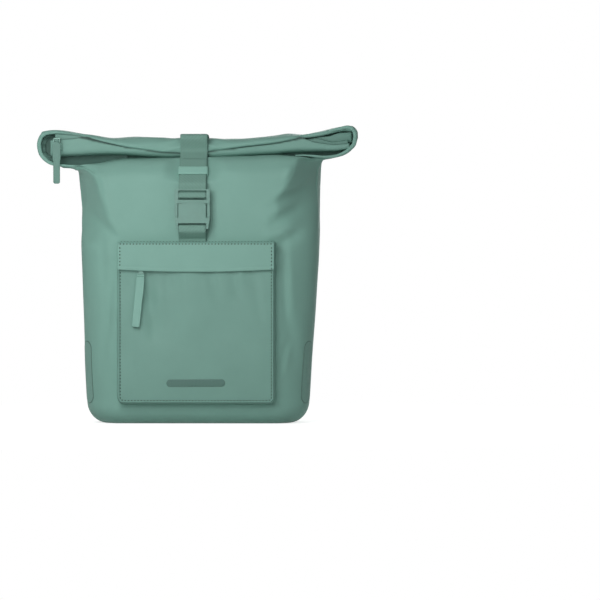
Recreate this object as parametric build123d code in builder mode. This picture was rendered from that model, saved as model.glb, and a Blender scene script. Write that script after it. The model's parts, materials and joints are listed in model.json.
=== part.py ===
from build123d import *
import os
from math import atan2, degrees

# Roll-top pannier bag, in millimetres. +X is the right of someone facing the front, the front
# faces -Y, the rack side +Y, +Z up. The origin is the centre of the underside of the base.
os.makedirs("parts", exist_ok=True)

# --- driving sizes -------------------------------------------------------------------------
# body
base_width = 305.0
shoulder_width = 339.0
depth = 140.0
shoulder_height = 330.0
corner_radius = 28.0
base_round = 26.0
base_seam_height = 34.0
wall = 2.0
# neck and roll
neck_thickness = 8.0
neck_width = 440.0
neck_bend_height = 22.0
neck_bend_depth = 60.0
neck_fold_height = 34.0
roll_width = 444.0
roll_height = 53.0
roll_depth = 44.0
roll_pinch_height = 31.0
roll_pinch_depth = 36.0
pinch_margin = 5.0
roll_axis_height = 385.0
roll_back = 4.0
stiffener_width = 18.0
stiffener_thickness = 2.0
stiffener_end_gap = 6.0
# webbing, buckle and keeper
webbing_width = 38.0
webbing_thickness = 1.6
strap_offset = -5.0
strap_arch_height = 405.0
sewn_strap_length = 12.0
sewn_web_length = 6.0
strap_crown = 12.0
strap_shoulder = 6.0
slant_rise = 7.0
neck_strap_gap = 0.5
buckle_foot_height = 268.5
buckle_height = 55.0
buckle_width = 48.6
buckle_bottom_width = 43.6
buckle_thickness = 9.8
buckle_standoff = 6.1
plug_thickness = 4.0
plug_frame_height = 20.0
plug_bar = 5.0
plug_slot = 4.1
plug_rim = 1.8
tongue_width = 30.0
tongue_length = 22.0
arm_width = 4.0
arm_length = 18.6
arm_corner = 1.2
arm_pivot_drop = 2.0
socket_slot_height = 4.0
socket_bar = 4.0
socket_bar_thickness = 6.0
socket_neck_width = 37.6
socket_gap = 0.6
anchor_bend_drop = 3.0
keeper_length = 15.0
keeper_wall = 1.4
keeper_place = 22.0
tail_length = 50.0
# pocket
pocket_width = 214.0
pocket_foot_height = 30.0
pocket_top = 250.5
pocket_depth = 14.0
pocket_corner = 12.0
pocket_wall = 1.5
pocket_mouth_height = 228.5
flap_length = 39.5
flap_thickness = 1.4
flap_standoff = 4.2
flap_fold_drop = 5.3
flap_slope_run = 5.0
# pocket zip
zip_inset = 9.0
tape_thickness = 1.0
tape_overlap = 6.0
teeth_height = 1.3
teeth_thickness = 2.6
teeth_parting = 1.5
zip_height = 236.5
slider_length = 9.0
slider_height = 7.0
slider_plate = 1.4
slider_rest = 22.5
link_width = 5.4
link_thickness = 1.4
link_length = 32.0
yoke_height = 2.0
pull_width = 10.0
pull_length = 71.0
pull_thickness = 2.2
pull_lean = 5.6
pull_eye_radius = 2.0
pull_bar_radius = 0.9
pull_neck = 3.0
lug = 1.2
# mouth zip
mouth_pull_place = -195.5
mouth_pull_width = 9.2
mouth_pull_length = 60.0
mouth_bar_height = 392.5
zip_end_width = 10.0
zip_end_shift = 2.0
zip_end_height = 9.0
zip_end_thickness = 2.6
mouth_slider_height = 7.0
mouth_slider_width = 9.0
mouth_slider_depth = 2.8
# trims
reflector_length = 81.0
reflector_height = 10.4
reflector_place = 57.0
trim_thickness = 0.8
side_patch_height = 87.0
side_patch_width = 22.0
side_patch_place = 71.0
# boards
board_width = 250.0
board_thickness = 2.0
back_board_bottom = 40.0
back_board_top = 322.0
base_board_length = 245.0
base_board_depth = 84.0
base_board_thickness = 3.0
# rack fittings
rack_tube_radius = 8.0
liner_thickness = 1.9
hook_wall = 5.0
hook_width = 24.0
hook_spacing = 190.0
hook_tube_height = 324.0
hook_leg_bottom = 290.0
hook_tip_drop = 12.0
rail_end = 9.0
rail_height = 26.0
rail_thickness = 4.0
rail_bottom = 290.0
inner_screw_spacing = 70.0
outer_screw_gap = 12.0
screw_radius = 1.9
screw_head_radius = 4.0
screw_head_height = 2.4
nut_radius = 4.5
nut_height = 3.0
hook_screw_spacing = 12.0
hook_screw_rise = 7.0
hook_screw_radius = 1.5
hook_screw_head_radius = 2.8
hook_screw_head_height = 1.8
pin_radius = 2.0
pin_rise = 15.0
pin_out = 10.0
cheek_thickness = 4.8
cheek_round = 5.0
latch_boss_radius = 4.0
latch_tip_radius = 2.5
latch_reach = 17.0
latch_rise = 4.0
spring_width = 3.0
spring_wire = 1.2
lower_rail_end = 10.0
lower_rail_height = 22.0
lower_rail_middle = 106.0
lower_screw_spacing = 104.0
anchor_pin_radius = 3.0
anchor_head_radius = 5.0
anchor_boss_radius = 10.0
anchor_plate = 5.0
anchor_drop = 40.0
anchor_gap = 10.0
anchor_finger = 4.0
anchor_width = 18.0
anchor_finger_height = 18.0
# clearances
hinge_clearance = 0.05
slide_clearance = 0.4
side_clearance = 0.3
layer_gap = 0.2
fold_gap = 1.0

# --- places worked out from them -----------------------------------------------------------
front = -depth / 2
back = depth / 2
side_flat = depth / 2 - corner_radius
widening = (shoulder_width - base_width) / shoulder_height


def body_block(inset):
    """The tapering body with its rounded base, set in by a wall's thickness."""
    with BuildPart() as block:
        with BuildSketch(Plane.XY.offset(inset)):
            RectangleRounded(
                base_width + widening * inset - 2 * inset, depth - 2 * inset, corner_radius - inset
            )
        with BuildSketch(Plane.XY.offset(shoulder_height)):
            RectangleRounded(shoulder_width - 2 * inset, depth - 2 * inset, corner_radius - inset)
        loft()
        fillet(block.faces().sort_by(Axis.Z)[0].edges(), base_round - inset)
    return block.part


shell = body_block(0) - body_block(wall)
screw_hole = screw_radius + hinge_clearance
outer_screw = hook_spacing / 2 + hook_width / 2 + outer_screw_gap
rail_length = 2 * (outer_screw + rail_end)
rail_screw_places = (-outer_screw, -inner_screw_spacing / 2, inner_screw_spacing / 2, outer_screw)
rail_middle = rail_bottom + rail_height / 2
screw_places = [(x, rail_middle) for x in rail_screw_places]
lower_screw_places = (-lower_screw_spacing / 2, lower_screw_spacing / 2)
screw_places += [(x, lower_rail_middle) for x in lower_screw_places]


def panel(x_range, y_range, z_range):
    """The stretch of the shell inside a box, cut along the seams."""
    low = (x_range[0], y_range[0], z_range[0])
    size = (x_range[1] - x_range[0], y_range[1] - y_range[0], z_range[1] - z_range[0])
    with BuildPart() as cut:
        add(shell)
        with Locations(low):
            Box(*size, align=(Align.MIN, Align.MIN, Align.MIN), mode=Mode.INTERSECT)
    return cut.part


across = (-shoulder_width, shoulder_width)
hanging = (Align.CENTER, Align.CENTER, Align.MAX)
standing = (Align.CENTER, Align.CENTER, Align.MIN)
upright = (base_seam_height, shoulder_height)

# --- sewn body -----------------------------------------------------------------------------
with BuildPart() as front_panel:
    add(panel(across, (front, -side_flat), upright))
front_panel.part.label = "front_panel"

with BuildPart() as back_panel:
    add(panel(across, (side_flat, back), upright))
    with BuildSketch(Plane.XZ.offset(-back)):
        with Locations(screw_places):
            Circle(screw_hole)
    extrude(amount=wall, mode=Mode.SUBTRACT)
back_panel.part.label = "back_panel"

with BuildPart() as left_side_panel:
    add(panel((-shoulder_width, 0), (-side_flat, side_flat), upright))
left_side_panel.part.label = "left_side_panel"

with BuildPart() as right_side_panel:
    add(panel((0, shoulder_width), (-side_flat, side_flat), upright))
right_side_panel.part.label = "right_side_panel"

with BuildPart() as base_panel:
    add(panel(across, (front, back), (0, base_seam_height)))
base_panel.part.label = "base_panel"

# The neck gathers the body's mouth into a flat sleeve that stands behind the roll.
neck_front = roll_back + side_clearance
neck_middle = neck_front + neck_thickness / 2
neck_lean = roll_back
neck_bend_width = (shoulder_width + neck_width) / 2
neck_corner = 0.48 * neck_thickness
bend_height = shoulder_height + neck_bend_height
fold_in_height = shoulder_height + neck_fold_height
neck_sections = (
    (shoulder_height, shoulder_width, depth, 0.0, corner_radius),
    (bend_height, neck_bend_width, neck_bend_depth, neck_lean, corner_radius / 2),
    (fold_in_height, neck_width, neck_thickness, neck_middle, neck_corner),
    (roll_axis_height, neck_width, neck_thickness, neck_middle, neck_corner),
)
with BuildPart() as neck_sleeve:
    for height, width, thickness, middle, radius in neck_sections:
        with BuildSketch(Plane((0, middle, height))):
            RectangleRounded(width, thickness, radius)
    loft(ruled=True)
    for height, width, thickness, middle, radius in neck_sections:
        with BuildSketch(Plane((0, middle, height))):
            inside = min(wall, thickness / 4)
            RectangleRounded(width - 2 * inside, thickness - 2 * inside, radius - inside)
    loft(ruled=True, mode=Mode.SUBTRACT)
neck_sleeve.part.label = "neck_sleeve"

# --- boards that keep the back and the base stiff -------------------------------------------
with BuildPart() as back_board:
    with BuildSketch(Plane.XZ.offset(-(back - wall))):
        with Locations((0, (back_board_bottom + back_board_top) / 2)):
            RectangleRounded(board_width, back_board_top - back_board_bottom, corner_radius / 2)
        with Locations(screw_places):
            Circle(screw_hole, mode=Mode.SUBTRACT)
    extrude(amount=board_thickness)
back_board.part.label = "back_board"

with BuildPart() as base_board:
    with BuildSketch(Plane.XY.offset(wall)):
        RectangleRounded(base_board_length, base_board_depth, corner_radius / 2)
    extrude(amount=base_board_thickness)
base_board.part.label = "base_board"

# --- the rolled mouth -----------------------------------------------------------------------
pinch_half = webbing_width / 2 + pinch_margin
roll_stations = (
    (-roll_width / 2, roll_depth, roll_height),
    (strap_offset - pinch_half, roll_pinch_depth, roll_pinch_height),
    (strap_offset + pinch_half, roll_pinch_depth, roll_pinch_height),
    (roll_width / 2, roll_depth, roll_height),
)
roll_core = roll_back - roll_pinch_depth / 2
with BuildPart() as roll_top:
    for place, thickness, height in roll_stations:
        with BuildSketch(Plane.YZ.offset(place)):
            with Locations((roll_back - thickness / 2, roll_axis_height)):
                Ellipse(thickness / 2, height / 2)
    loft(ruled=True)
    with Locations((0, roll_core, roll_axis_height)):
        Box(
            roll_width + 2 * wall,
            stiffener_thickness + 2 * side_clearance,
            stiffener_width + 2 * side_clearance,
            mode=Mode.SUBTRACT,
        )
roll_top.part.label = "roll_top"

with BuildPart() as mouth_stiffener:
    with Locations((0, roll_core, roll_axis_height)):
        Box(roll_width - 2 * stiffener_end_gap, stiffener_thickness, stiffener_width)
mouth_stiffener.part.label = "mouth_stiffener"

# --- end of the mouth zip, its slider and its pull, at the left end of the roll --------------
zip_end_middle = mouth_pull_place + zip_end_shift
roll_taper = (roll_depth - roll_pinch_depth) / (roll_width / 2 + strap_offset - pinch_half)
depth_at_zip = roll_depth - roll_taper * (roll_width / 2 + zip_end_middle - zip_end_width / 2)
zip_end_top = mouth_bar_height - mouth_slider_height / 2
zip_end_back = roll_back - depth_at_zip - side_clearance
with BuildPart() as mouth_zip_end:
    with Locations((zip_end_middle, zip_end_back - zip_end_thickness / 2, zip_end_top)):
        Box(zip_end_width, zip_end_thickness, zip_end_height, align=hanging)
mouth_zip_end.part.label = "mouth_zip_end"

mouth_slider_front = zip_end_back - mouth_slider_depth
mouth_bar_y = mouth_slider_front - pull_eye_radius - side_clearance
with BuildPart() as mouth_slider:
    with Locations((mouth_pull_place, zip_end_back - mouth_slider_depth / 2, mouth_bar_height)):
        Box(mouth_slider_width, mouth_slider_depth, mouth_slider_height)
    for side in (-1, 1):
        lug_middle = mouth_pull_place + side * (mouth_slider_width - lug) / 2
        with Locations((lug_middle, mouth_bar_y, mouth_bar_height)):
            Box(lug, 2 * (mouth_slider_front - mouth_bar_y), 2 * pull_eye_radius)
    with Locations((mouth_pull_place, mouth_bar_y, mouth_bar_height)):
        Cylinder(pull_bar_radius, mouth_slider_width - lug, rotation=(0, 90, 0))
mouth_slider.part.label = "mouth_slider"

mouth_eye_width = mouth_slider_width - 2 * lug - 2 * side_clearance


def zip_pull(place, bar_y, bar_height, eye_width, width, length, lean):
    """A flat pull hanging from an eye round a slider's bar, which runs along X."""
    bore = pull_bar_radius + hinge_clearance
    tab_top = -pull_eye_radius - pull_neck
    with BuildPart() as pull:
        with BuildSketch(Plane.YZ.offset(place - eye_width / 2)):
            with Locations((bar_y, bar_height)):
                Circle(pull_eye_radius)
        extrude(amount=eye_width)
        with BuildSketch(Plane.XZ.offset(-bar_y - pull_thickness / 2)):
            with Locations(Location((place, bar_height), lean)):
                with Locations((0, -bore)):
                    Rectangle(eye_width, pull_eye_radius + 2 * pull_neck, align=(Align.CENTER, Align.MAX))
                with Locations((0, tab_top)):
                    Rectangle(width, length + tab_top, align=(Align.CENTER, Align.MAX))
        extrude(amount=pull_thickness)
        with Locations((place, bar_y, bar_height)):
            Cylinder(bore, 2 * eye_width, rotation=(0, 90, 0), mode=Mode.SUBTRACT)
    return pull.part


with BuildPart() as mouth_pull:
    add(
        zip_pull(
            mouth_pull_place, mouth_bar_y, mouth_bar_height, mouth_eye_width,
            mouth_pull_width, mouth_pull_length, 0.0,
        )
    )
mouth_pull.part.label = "mouth_pull"

# --- front pocket ---------------------------------------------------------------------------
pocket_front = front - pocket_depth
hem_underside = pocket_top - flap_thickness / 2
with BuildPart() as pocket_panel:
    with BuildSketch(Plane.XZ.offset(-front)) as pocket_outline:
        with Locations((0, (pocket_foot_height + hem_underside) / 2)):
            Rectangle(pocket_width, hem_underside - pocket_foot_height)
        fillet(pocket_outline.vertices().group_by(Axis.Z)[0], pocket_corner)
    extrude(amount=pocket_depth)
    with BuildSketch(Plane.XZ.offset(-front)) as pocket_inside:
        with Locations((0, pocket_foot_height + pocket_wall)):
            Rectangle(
                pocket_width - 2 * pocket_wall,
                hem_underside - pocket_foot_height,
                align=(Align.CENTER, Align.MIN),
            )
        fillet(pocket_inside.vertices().group_by(Axis.Z)[0], pocket_corner - pocket_wall)
    extrude(amount=pocket_depth - pocket_wall, mode=Mode.SUBTRACT)
    with BuildSketch(Plane.XZ.offset(-front)):
        with Locations((0, pocket_mouth_height)):
            Rectangle(
                pocket_width - 2 * pocket_wall,
                hem_underside,
                align=(Align.CENTER, Align.MIN),
            )
    extrude(amount=pocket_depth, mode=Mode.SUBTRACT)
pocket_panel.part.label = "pocket_panel"

flap_back = pocket_front - flap_standoff
flap_middle = flap_back - flap_thickness / 2
fold_height = pocket_top - flap_fold_drop
with BuildPart() as flap_seam:
    with BuildSketch(Plane.YZ.offset(-pocket_width / 2)):
        with BuildLine() as seam_line:
            Polyline(
                (front, pocket_top),
                (flap_middle + flap_slope_run, pocket_top),
                (flap_middle, fold_height + fold_gap),
            )
        trace(line_width=flap_thickness)
    extrude(amount=pocket_width)
    with Locations((0, front, pocket_top)):
        behind = (Align.CENTER, Align.MIN, Align.CENTER)
        Box(pocket_width, depth, 4 * flap_thickness, align=behind, mode=Mode.SUBTRACT)
flap_seam.part.label = "flap_seam"

with BuildPart() as pocket_flap:
    with BuildSketch(Plane.XZ.offset(-flap_back)):
        with Locations((0, fold_height - side_clearance)):
            Rectangle(pocket_width, flap_length - flap_fold_drop, align=(Align.CENTER, Align.MAX))
    extrude(amount=flap_thickness)
pocket_flap.part.label = "pocket_flap"

# --- pocket zip -----------------------------------------------------------------------------
zip_length = pocket_width - 2 * zip_inset
slider_start = -zip_length / 2 + slider_rest
tape_front = pocket_front + pocket_wall
teeth_top = zip_height + teeth_parting / 2 + teeth_height
teeth_bottom = zip_height - teeth_parting / 2 - teeth_height
tape_spans = (
    (pocket_mouth_height - tape_overlap, teeth_bottom),
    (teeth_top, hem_underside),
)
with BuildPart() as pocket_zip_tape:
    for low, high in tape_spans:
        with Locations((0, tape_front + tape_thickness / 2, (low + high) / 2)):
            Box(pocket_width - 2 * pocket_wall, tape_thickness, high - low)
pocket_zip_tape.part.label = "pocket_zip_tape"

teeth_middle = tape_front + tape_thickness / 2
with BuildPart() as pocket_zip_teeth:
    for height in (teeth_bottom + teeth_height / 2, teeth_top - teeth_height / 2):
        with Locations((0, teeth_middle, height)):
            Box(zip_length, teeth_thickness, teeth_height)
pocket_zip_teeth.part.label = "pocket_zip_teeth"

plate_gap = teeth_thickness / 2 + side_clearance
plate_middle = plate_gap + slider_plate / 2
link_top = zip_height + slider_height / 2
link_y = pocket_front - side_clearance - link_thickness / 2
pull_bar_y = pocket_front - side_clearance - pull_eye_radius
pull_bar_height = zip_height - link_length
yoke_bottom = pull_bar_height + pull_eye_radius + side_clearance
with BuildPart() as pocket_zip_slider:
    for side in (-1, 1):
        with Locations((slider_start, teeth_middle + side * plate_middle, zip_height)):
            Box(slider_length, slider_plate, slider_height)
    with Locations((slider_start, teeth_middle, zip_height)):
        Box(slider_length / 2, 2 * plate_gap + slider_plate, teeth_parting - side_clearance)
    link_back = teeth_middle - plate_gap
    link_front = link_y - link_thickness / 2
    with Locations((slider_start, (link_back + link_front) / 2, zip_height)):
        Box(link_width, link_back - link_front, slider_height)
    with Locations((slider_start, link_y, link_top)):
        Box(link_width, link_thickness, link_top - yoke_bottom, align=hanging)
    with Locations((slider_start, link_y, yoke_bottom)):
        Box(link_width + 2 * (lug + side_clearance), link_thickness, yoke_height, align=standing)
    for side in (-1, 1):
        place = slider_start + side * (link_width / 2 + side_clearance + lug / 2)
        with Locations((place, (link_y + pull_bar_y) / 2, yoke_bottom + yoke_height)):
            Box(lug, link_y - pull_bar_y + link_thickness, yoke_height + 2 * pull_eye_radius, align=hanging)
    with Locations((slider_start, pull_bar_y, pull_bar_height)):
        Cylinder(pull_bar_radius, link_width + 2 * side_clearance + lug, rotation=(0, 90, 0))
pocket_zip_slider.part.label = "pocket_zip_slider"

with BuildPart() as pocket_pull:
    add(
        zip_pull(
            slider_start, pull_bar_y, pull_bar_height, link_width,
            pull_width, pull_length, -pull_lean,
        )
    )
pocket_pull.part.label = "pocket_pull"

# --- trims ----------------------------------------------------------------------------------
with BuildPart() as reflector:
    with BuildSketch(Plane.XZ.offset(-pocket_front)):
        with Locations((0, reflector_place)):
            SlotOverall(reflector_length, reflector_height)
    extrude(amount=trim_thickness)
reflector.part.label = "reflector"

side_patch_middle = -side_flat + side_patch_width / 2
side_slope = Vector(1, 0, -widening / 2)
for side, name in ((-1, "left_side_patch"), (1, "right_side_patch")):
    surface = (base_width + widening * side_patch_place) / 2
    patch_plane = Plane(
        origin=(side * surface, side_patch_middle, side_patch_place),
        x_dir=(0, 1, 0),
        z_dir=(side * side_slope.X, 0, side_slope.Z),
    )
    with BuildPart() as side_patch:
        with BuildSketch(patch_plane):
            SlotOverall(side_patch_height, side_patch_width, rotation=90)
        extrude(amount=trim_thickness)
    side_patch.part.label = name
    export_step(side_patch.part, f"parts/{name}.step")

# --- buckle: the socket stays on the bag, the plug rides on the strap -------------------------
buckle_top = buckle_foot_height + buckle_height
plug_bottom = buckle_top - plug_frame_height
buckle_back = front - buckle_standoff
buckle_front = buckle_back - buckle_thickness
buckle_middle = (buckle_back + buckle_front) / 2
socket_top = plug_bottom - socket_gap
arm_bottom = plug_bottom - slide_clearance - arm_length
socket_shoulder = arm_bottom - side_clearance
slot_width = webbing_width + 2 * slide_clearance
socket_slot_bottom = buckle_foot_height + socket_bar
tongue_bottom = plug_bottom - tongue_length
plug_back = buckle_middle + plug_thickness / 2
with BuildPart() as buckle_socket:
    with BuildSketch(Plane.XZ.offset(-buckle_back)):
        with BuildLine():
            Polyline(
                (strap_offset - buckle_bottom_width / 2, buckle_foot_height),
                (strap_offset + buckle_bottom_width / 2, buckle_foot_height),
                (strap_offset + buckle_width / 2, socket_shoulder),
                (strap_offset + socket_neck_width / 2, socket_shoulder),
                (strap_offset + socket_neck_width / 2, socket_top),
                (strap_offset - socket_neck_width / 2, socket_top),
                (strap_offset - socket_neck_width / 2, socket_shoulder),
                (strap_offset - buckle_width / 2, socket_shoulder),
                close=True,
            )
        make_face()
    extrude(amount=buckle_thickness)
    with Locations((strap_offset, buckle_middle, tongue_bottom - slide_clearance)):
        Box(
            tongue_width + 2 * slide_clearance,
            plug_thickness + 2 * slide_clearance,
            buckle_height,
            align=standing,
            mode=Mode.SUBTRACT,
        )
    with Locations((strap_offset, buckle_middle, socket_slot_bottom)):
        Box(
            slot_width,
            2 * buckle_thickness,
            socket_slot_height,
            align=standing,
            mode=Mode.SUBTRACT,
        )
    for side in (-1, 1):
        recess_middle = buckle_middle + side * (socket_bar_thickness + buckle_thickness) / 2
        with Locations((strap_offset, recess_middle, buckle_foot_height)):
            Box(slot_width, buckle_thickness, 2 * socket_bar, mode=Mode.SUBTRACT)
buckle_socket.part.label = "buckle_socket"

upper_slot_top = buckle_top - plug_rim
upper_slot_bottom = upper_slot_top - plug_slot
lower_slot_top = upper_slot_bottom - plug_bar
lower_slot_bottom = lower_slot_top - plug_slot
with BuildPart() as buckle_plug:
    with BuildSketch(Plane.XZ.offset(-plug_back)) as plug_outline:
        with Locations((strap_offset, (plug_bottom + buckle_top) / 2)):
            RectangleRounded(buckle_width, plug_frame_height, plug_rim)
        with Locations((strap_offset, tongue_bottom)):
            Rectangle(tongue_width, tongue_length + plug_rim, align=(Align.CENTER, Align.MIN))
        for low, high in ((upper_slot_bottom, upper_slot_top), (lower_slot_bottom, lower_slot_top)):
            with Locations((strap_offset, (low + high) / 2)):
                Rectangle(slot_width, high - low, mode=Mode.SUBTRACT)
    extrude(amount=plug_thickness)
buckle_plug.part.label = "buckle_plug"

arm_middle = (buckle_width - arm_width) / 2
arm_top = plug_bottom - slide_clearance
for side, name in ((-1, "left_release_arm"), (1, "right_release_arm")):
    with BuildPart() as release_arm:
        with BuildSketch(Plane.XZ.offset(-plug_back)):
            with Locations((strap_offset + side * arm_middle, (arm_bottom + arm_top) / 2)):
                RectangleRounded(arm_width, arm_length, arm_corner)
        extrude(amount=plug_thickness)
    release_arm.part.label = name
    export_step(release_arm.part, f"parts/{name}.step")

# --- webbing --------------------------------------------------------------------------------
half_web = webbing_thickness / 2
web_low = strap_offset - webbing_width / 2


def webbing(points):
    """A band of webbing whose middle follows the points, given as (y, z)."""
    with BuildPart() as band:
        with BuildSketch(Plane.YZ.offset(web_low)):
            with BuildLine():
                Polyline(*points)
            trace(line_width=webbing_thickness)
        extrude(amount=webbing_width)
    return band.part


seam_top = pocket_top + flap_thickness / 2
loop_top = socket_slot_bottom + socket_slot_height / 2
loop_back = buckle_middle + socket_bar_thickness / 2 + half_web + side_clearance
loop_front = buckle_middle - socket_bar_thickness / 2 - half_web - side_clearance
with BuildPart() as anchor_webbing:
    add(
        webbing(
            (
                (front - half_web, seam_top + side_clearance),
                (front - half_web, seam_top + sewn_web_length),
                (loop_back, buckle_foot_height - anchor_bend_drop),
                (loop_back, loop_top),
                (loop_front, loop_top),
                (loop_front, buckle_foot_height - anchor_bend_drop),
                (front - 3 * half_web - layer_gap, seam_top + sewn_web_length - webbing_thickness),
                (front - 3 * half_web - layer_gap, seam_top + side_clearance),
            )
        )
    )
anchor_webbing.part.label = "anchor_webbing"

strap_rear = neck_front + neck_thickness + neck_strap_gap + half_web
roll_pinch_front = roll_back - roll_pinch_depth
strap_front = roll_pinch_front - side_clearance - half_web
strap_back_layer = plug_back + slide_clearance + 2 * webbing_thickness + layer_gap - half_web
strap_front_layer = strap_back_layer - webbing_thickness - layer_gap
slant_low = buckle_top + slant_rise
slant_high = roll_axis_height - slant_rise
slant = Vector(0, strap_front - strap_back_layer, slant_high - slant_low)
slant_length = slant.length
slant_way = slant.normalized()
tail_shift = (webbing_thickness + layer_gap) * Vector(0, -slant_way.Z, slant_way.Y)
tail_start = Vector(0, strap_back_layer, slant_low) + tail_shift
tail_bend = tail_start + slant_way * ((strap_front_layer - tail_start.Y) / slant_way.Y)
tail_end = tail_start + slant_way * tail_length
bar_front = buckle_middle - plug_thickness / 2 - half_web - side_clearance
lower_pass = (lower_slot_bottom + lower_slot_top) / 2
upper_pass = (upper_slot_bottom + upper_slot_top) / 2
strap_start = roll_axis_height + roll_pinch_height / 2 + side_clearance
with BuildPart() as closure_strap:
    add(
        webbing(
            (
                (strap_rear, strap_start),
                (strap_rear, strap_arch_height),
                (strap_front + strap_crown, strap_arch_height),
                (strap_front, strap_arch_height - strap_shoulder),
                (strap_front, slant_high),
                (strap_back_layer, slant_low),
                (strap_back_layer, lower_pass),
                (bar_front, lower_pass),
                (bar_front, upper_pass),
                (strap_front_layer, upper_pass),
                (strap_front_layer, tail_bend.Z),
                (tail_end.Y, tail_end.Z),
            )
        )
    )
closure_strap.part.label = "closure_strap"

with BuildPart() as strap_arch:
    add(webbing(((strap_rear, roll_axis_height), (strap_rear, strap_start))))
strap_arch.part.label = "strap_arch"

bend_back = neck_lean + neck_bend_depth / 2
with BuildPart() as rear_strap:
    add(
        webbing(
            (
                (back + half_web, shoulder_height),
                (back + half_web, shoulder_height + webbing_thickness),
                (bend_back + webbing_thickness, bend_height + webbing_thickness),
                (strap_rear, fold_in_height + 1.5 * webbing_thickness),
                (strap_rear, roll_axis_height),
            )
        )
    )
rear_strap.part.label = "rear_strap"

with BuildPart() as sewn_strap:
    add(webbing(((back + half_web, shoulder_height - sewn_strap_length), (back + half_web, shoulder_height))))
sewn_strap.part.label = "sewn_strap"

keeper_inside = 2 * webbing_thickness + layer_gap + 2 * side_clearance
keeper_start = Vector(strap_offset, strap_back_layer, slant_low) + tail_shift / 2 + slant_way * keeper_place
keeper_plane = Plane(origin=keeper_start, x_dir=(1, 0, 0), z_dir=slant_way)
with BuildPart() as strap_keeper:
    with BuildSketch(keeper_plane):
        Rectangle(webbing_width + 2 * side_clearance + 2 * keeper_wall, keeper_inside + 2 * keeper_wall)
        Rectangle(webbing_width + 2 * side_clearance, keeper_inside, mode=Mode.SUBTRACT)
    extrude(amount=keeper_length)
strap_keeper.part.label = "strap_keeper"

# --- rack fittings on the back --------------------------------------------------------------
rail_front = back + rail_thickness
hook_outer = rack_tube_radius + liner_thickness + hook_wall
hook_inner = rack_tube_radius + liner_thickness
tube_y = rail_front + hook_outer
pin_y = rail_front + pin_out
pin_height = hook_leg_bottom + pin_rise
hook_screw_height = hook_leg_bottom + hook_screw_rise
hook_places = {"left": -hook_spacing / 2, "right": hook_spacing / 2}
hook_screw_points = [
    (x + side * hook_screw_spacing / 2, hook_screw_height)
    for x in hook_places.values()
    for side in (-1, 1)
]

with BuildPart() as hook_rail:
    with BuildSketch(Plane.XZ.offset(-rail_front)):
        with Locations((0, rail_middle)):
            RectangleRounded(rail_length, rail_height, hook_wall)
        with Locations([(x, rail_middle) for x in rail_screw_places]):
            Circle(screw_hole, mode=Mode.SUBTRACT)
        with Locations(hook_screw_points):
            Circle(hook_screw_radius + hinge_clearance, mode=Mode.SUBTRACT)
    extrude(amount=rail_thickness)
hook_rail.part.label = "hook_rail"

with BuildPart() as lower_rail:
    with BuildSketch(Plane.XZ.offset(-rail_front)):
        with Locations((0, lower_rail_middle)):
            RectangleRounded(lower_screw_spacing + 2 * lower_rail_end, lower_rail_height, hook_wall)
            Circle(anchor_pin_radius + hinge_clearance, mode=Mode.SUBTRACT)
        with Locations([(x, lower_rail_middle) for x in lower_screw_places]):
            Circle(screw_hole, mode=Mode.SUBTRACT)
    extrude(amount=rail_thickness)
lower_rail.part.label = "lower_rail"


def screws(places, head_back, head_radius, head_height, shank_radius, shank_end):
    """Round-headed screws whose heads stand on a face at head_back."""
    with BuildPart() as group:
        with BuildSketch(Plane.XZ.offset(-(head_back + head_height))):
            with Locations(places):
                Circle(head_radius)
        extrude(amount=head_height)
        with BuildSketch(Plane.XZ.offset(-head_back)):
            with Locations(places):
                Circle(shank_radius)
        extrude(amount=head_back - shank_end)
    return group.part


board_front = back - wall - board_thickness
nut_front = board_front - nut_height
with BuildPart() as rail_screws:
    add(
        screws(
            [(x, rail_middle) for x in rail_screw_places],
            rail_front, screw_head_radius, screw_head_height, screw_radius, nut_front,
        )
    )
rail_screws.part.label = "rail_screws"

with BuildPart() as lower_rail_screws:
    add(
        screws(
            [(x, lower_rail_middle) for x in lower_screw_places],
            rail_front, screw_head_radius, screw_head_height, screw_radius, nut_front,
        )
    )
lower_rail_screws.part.label = "lower_rail_screws"

with BuildPart() as screw_nuts:
    with BuildSketch(Plane.XZ.offset(-board_front)):
        with Locations(screw_places):
            RegularPolygon(nut_radius, 6)
            Circle(screw_hole, mode=Mode.SUBTRACT)
    extrude(amount=nut_height)
screw_nuts.part.label = "screw_nuts"

leg_front = rail_front + hook_wall
with BuildPart() as hook_screws:
    add(
        screws(
            hook_screw_points,
            leg_front, hook_screw_head_radius, hook_screw_head_height, hook_screw_radius, back,
        )
    )
hook_screws.part.label = "hook_screws"

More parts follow.
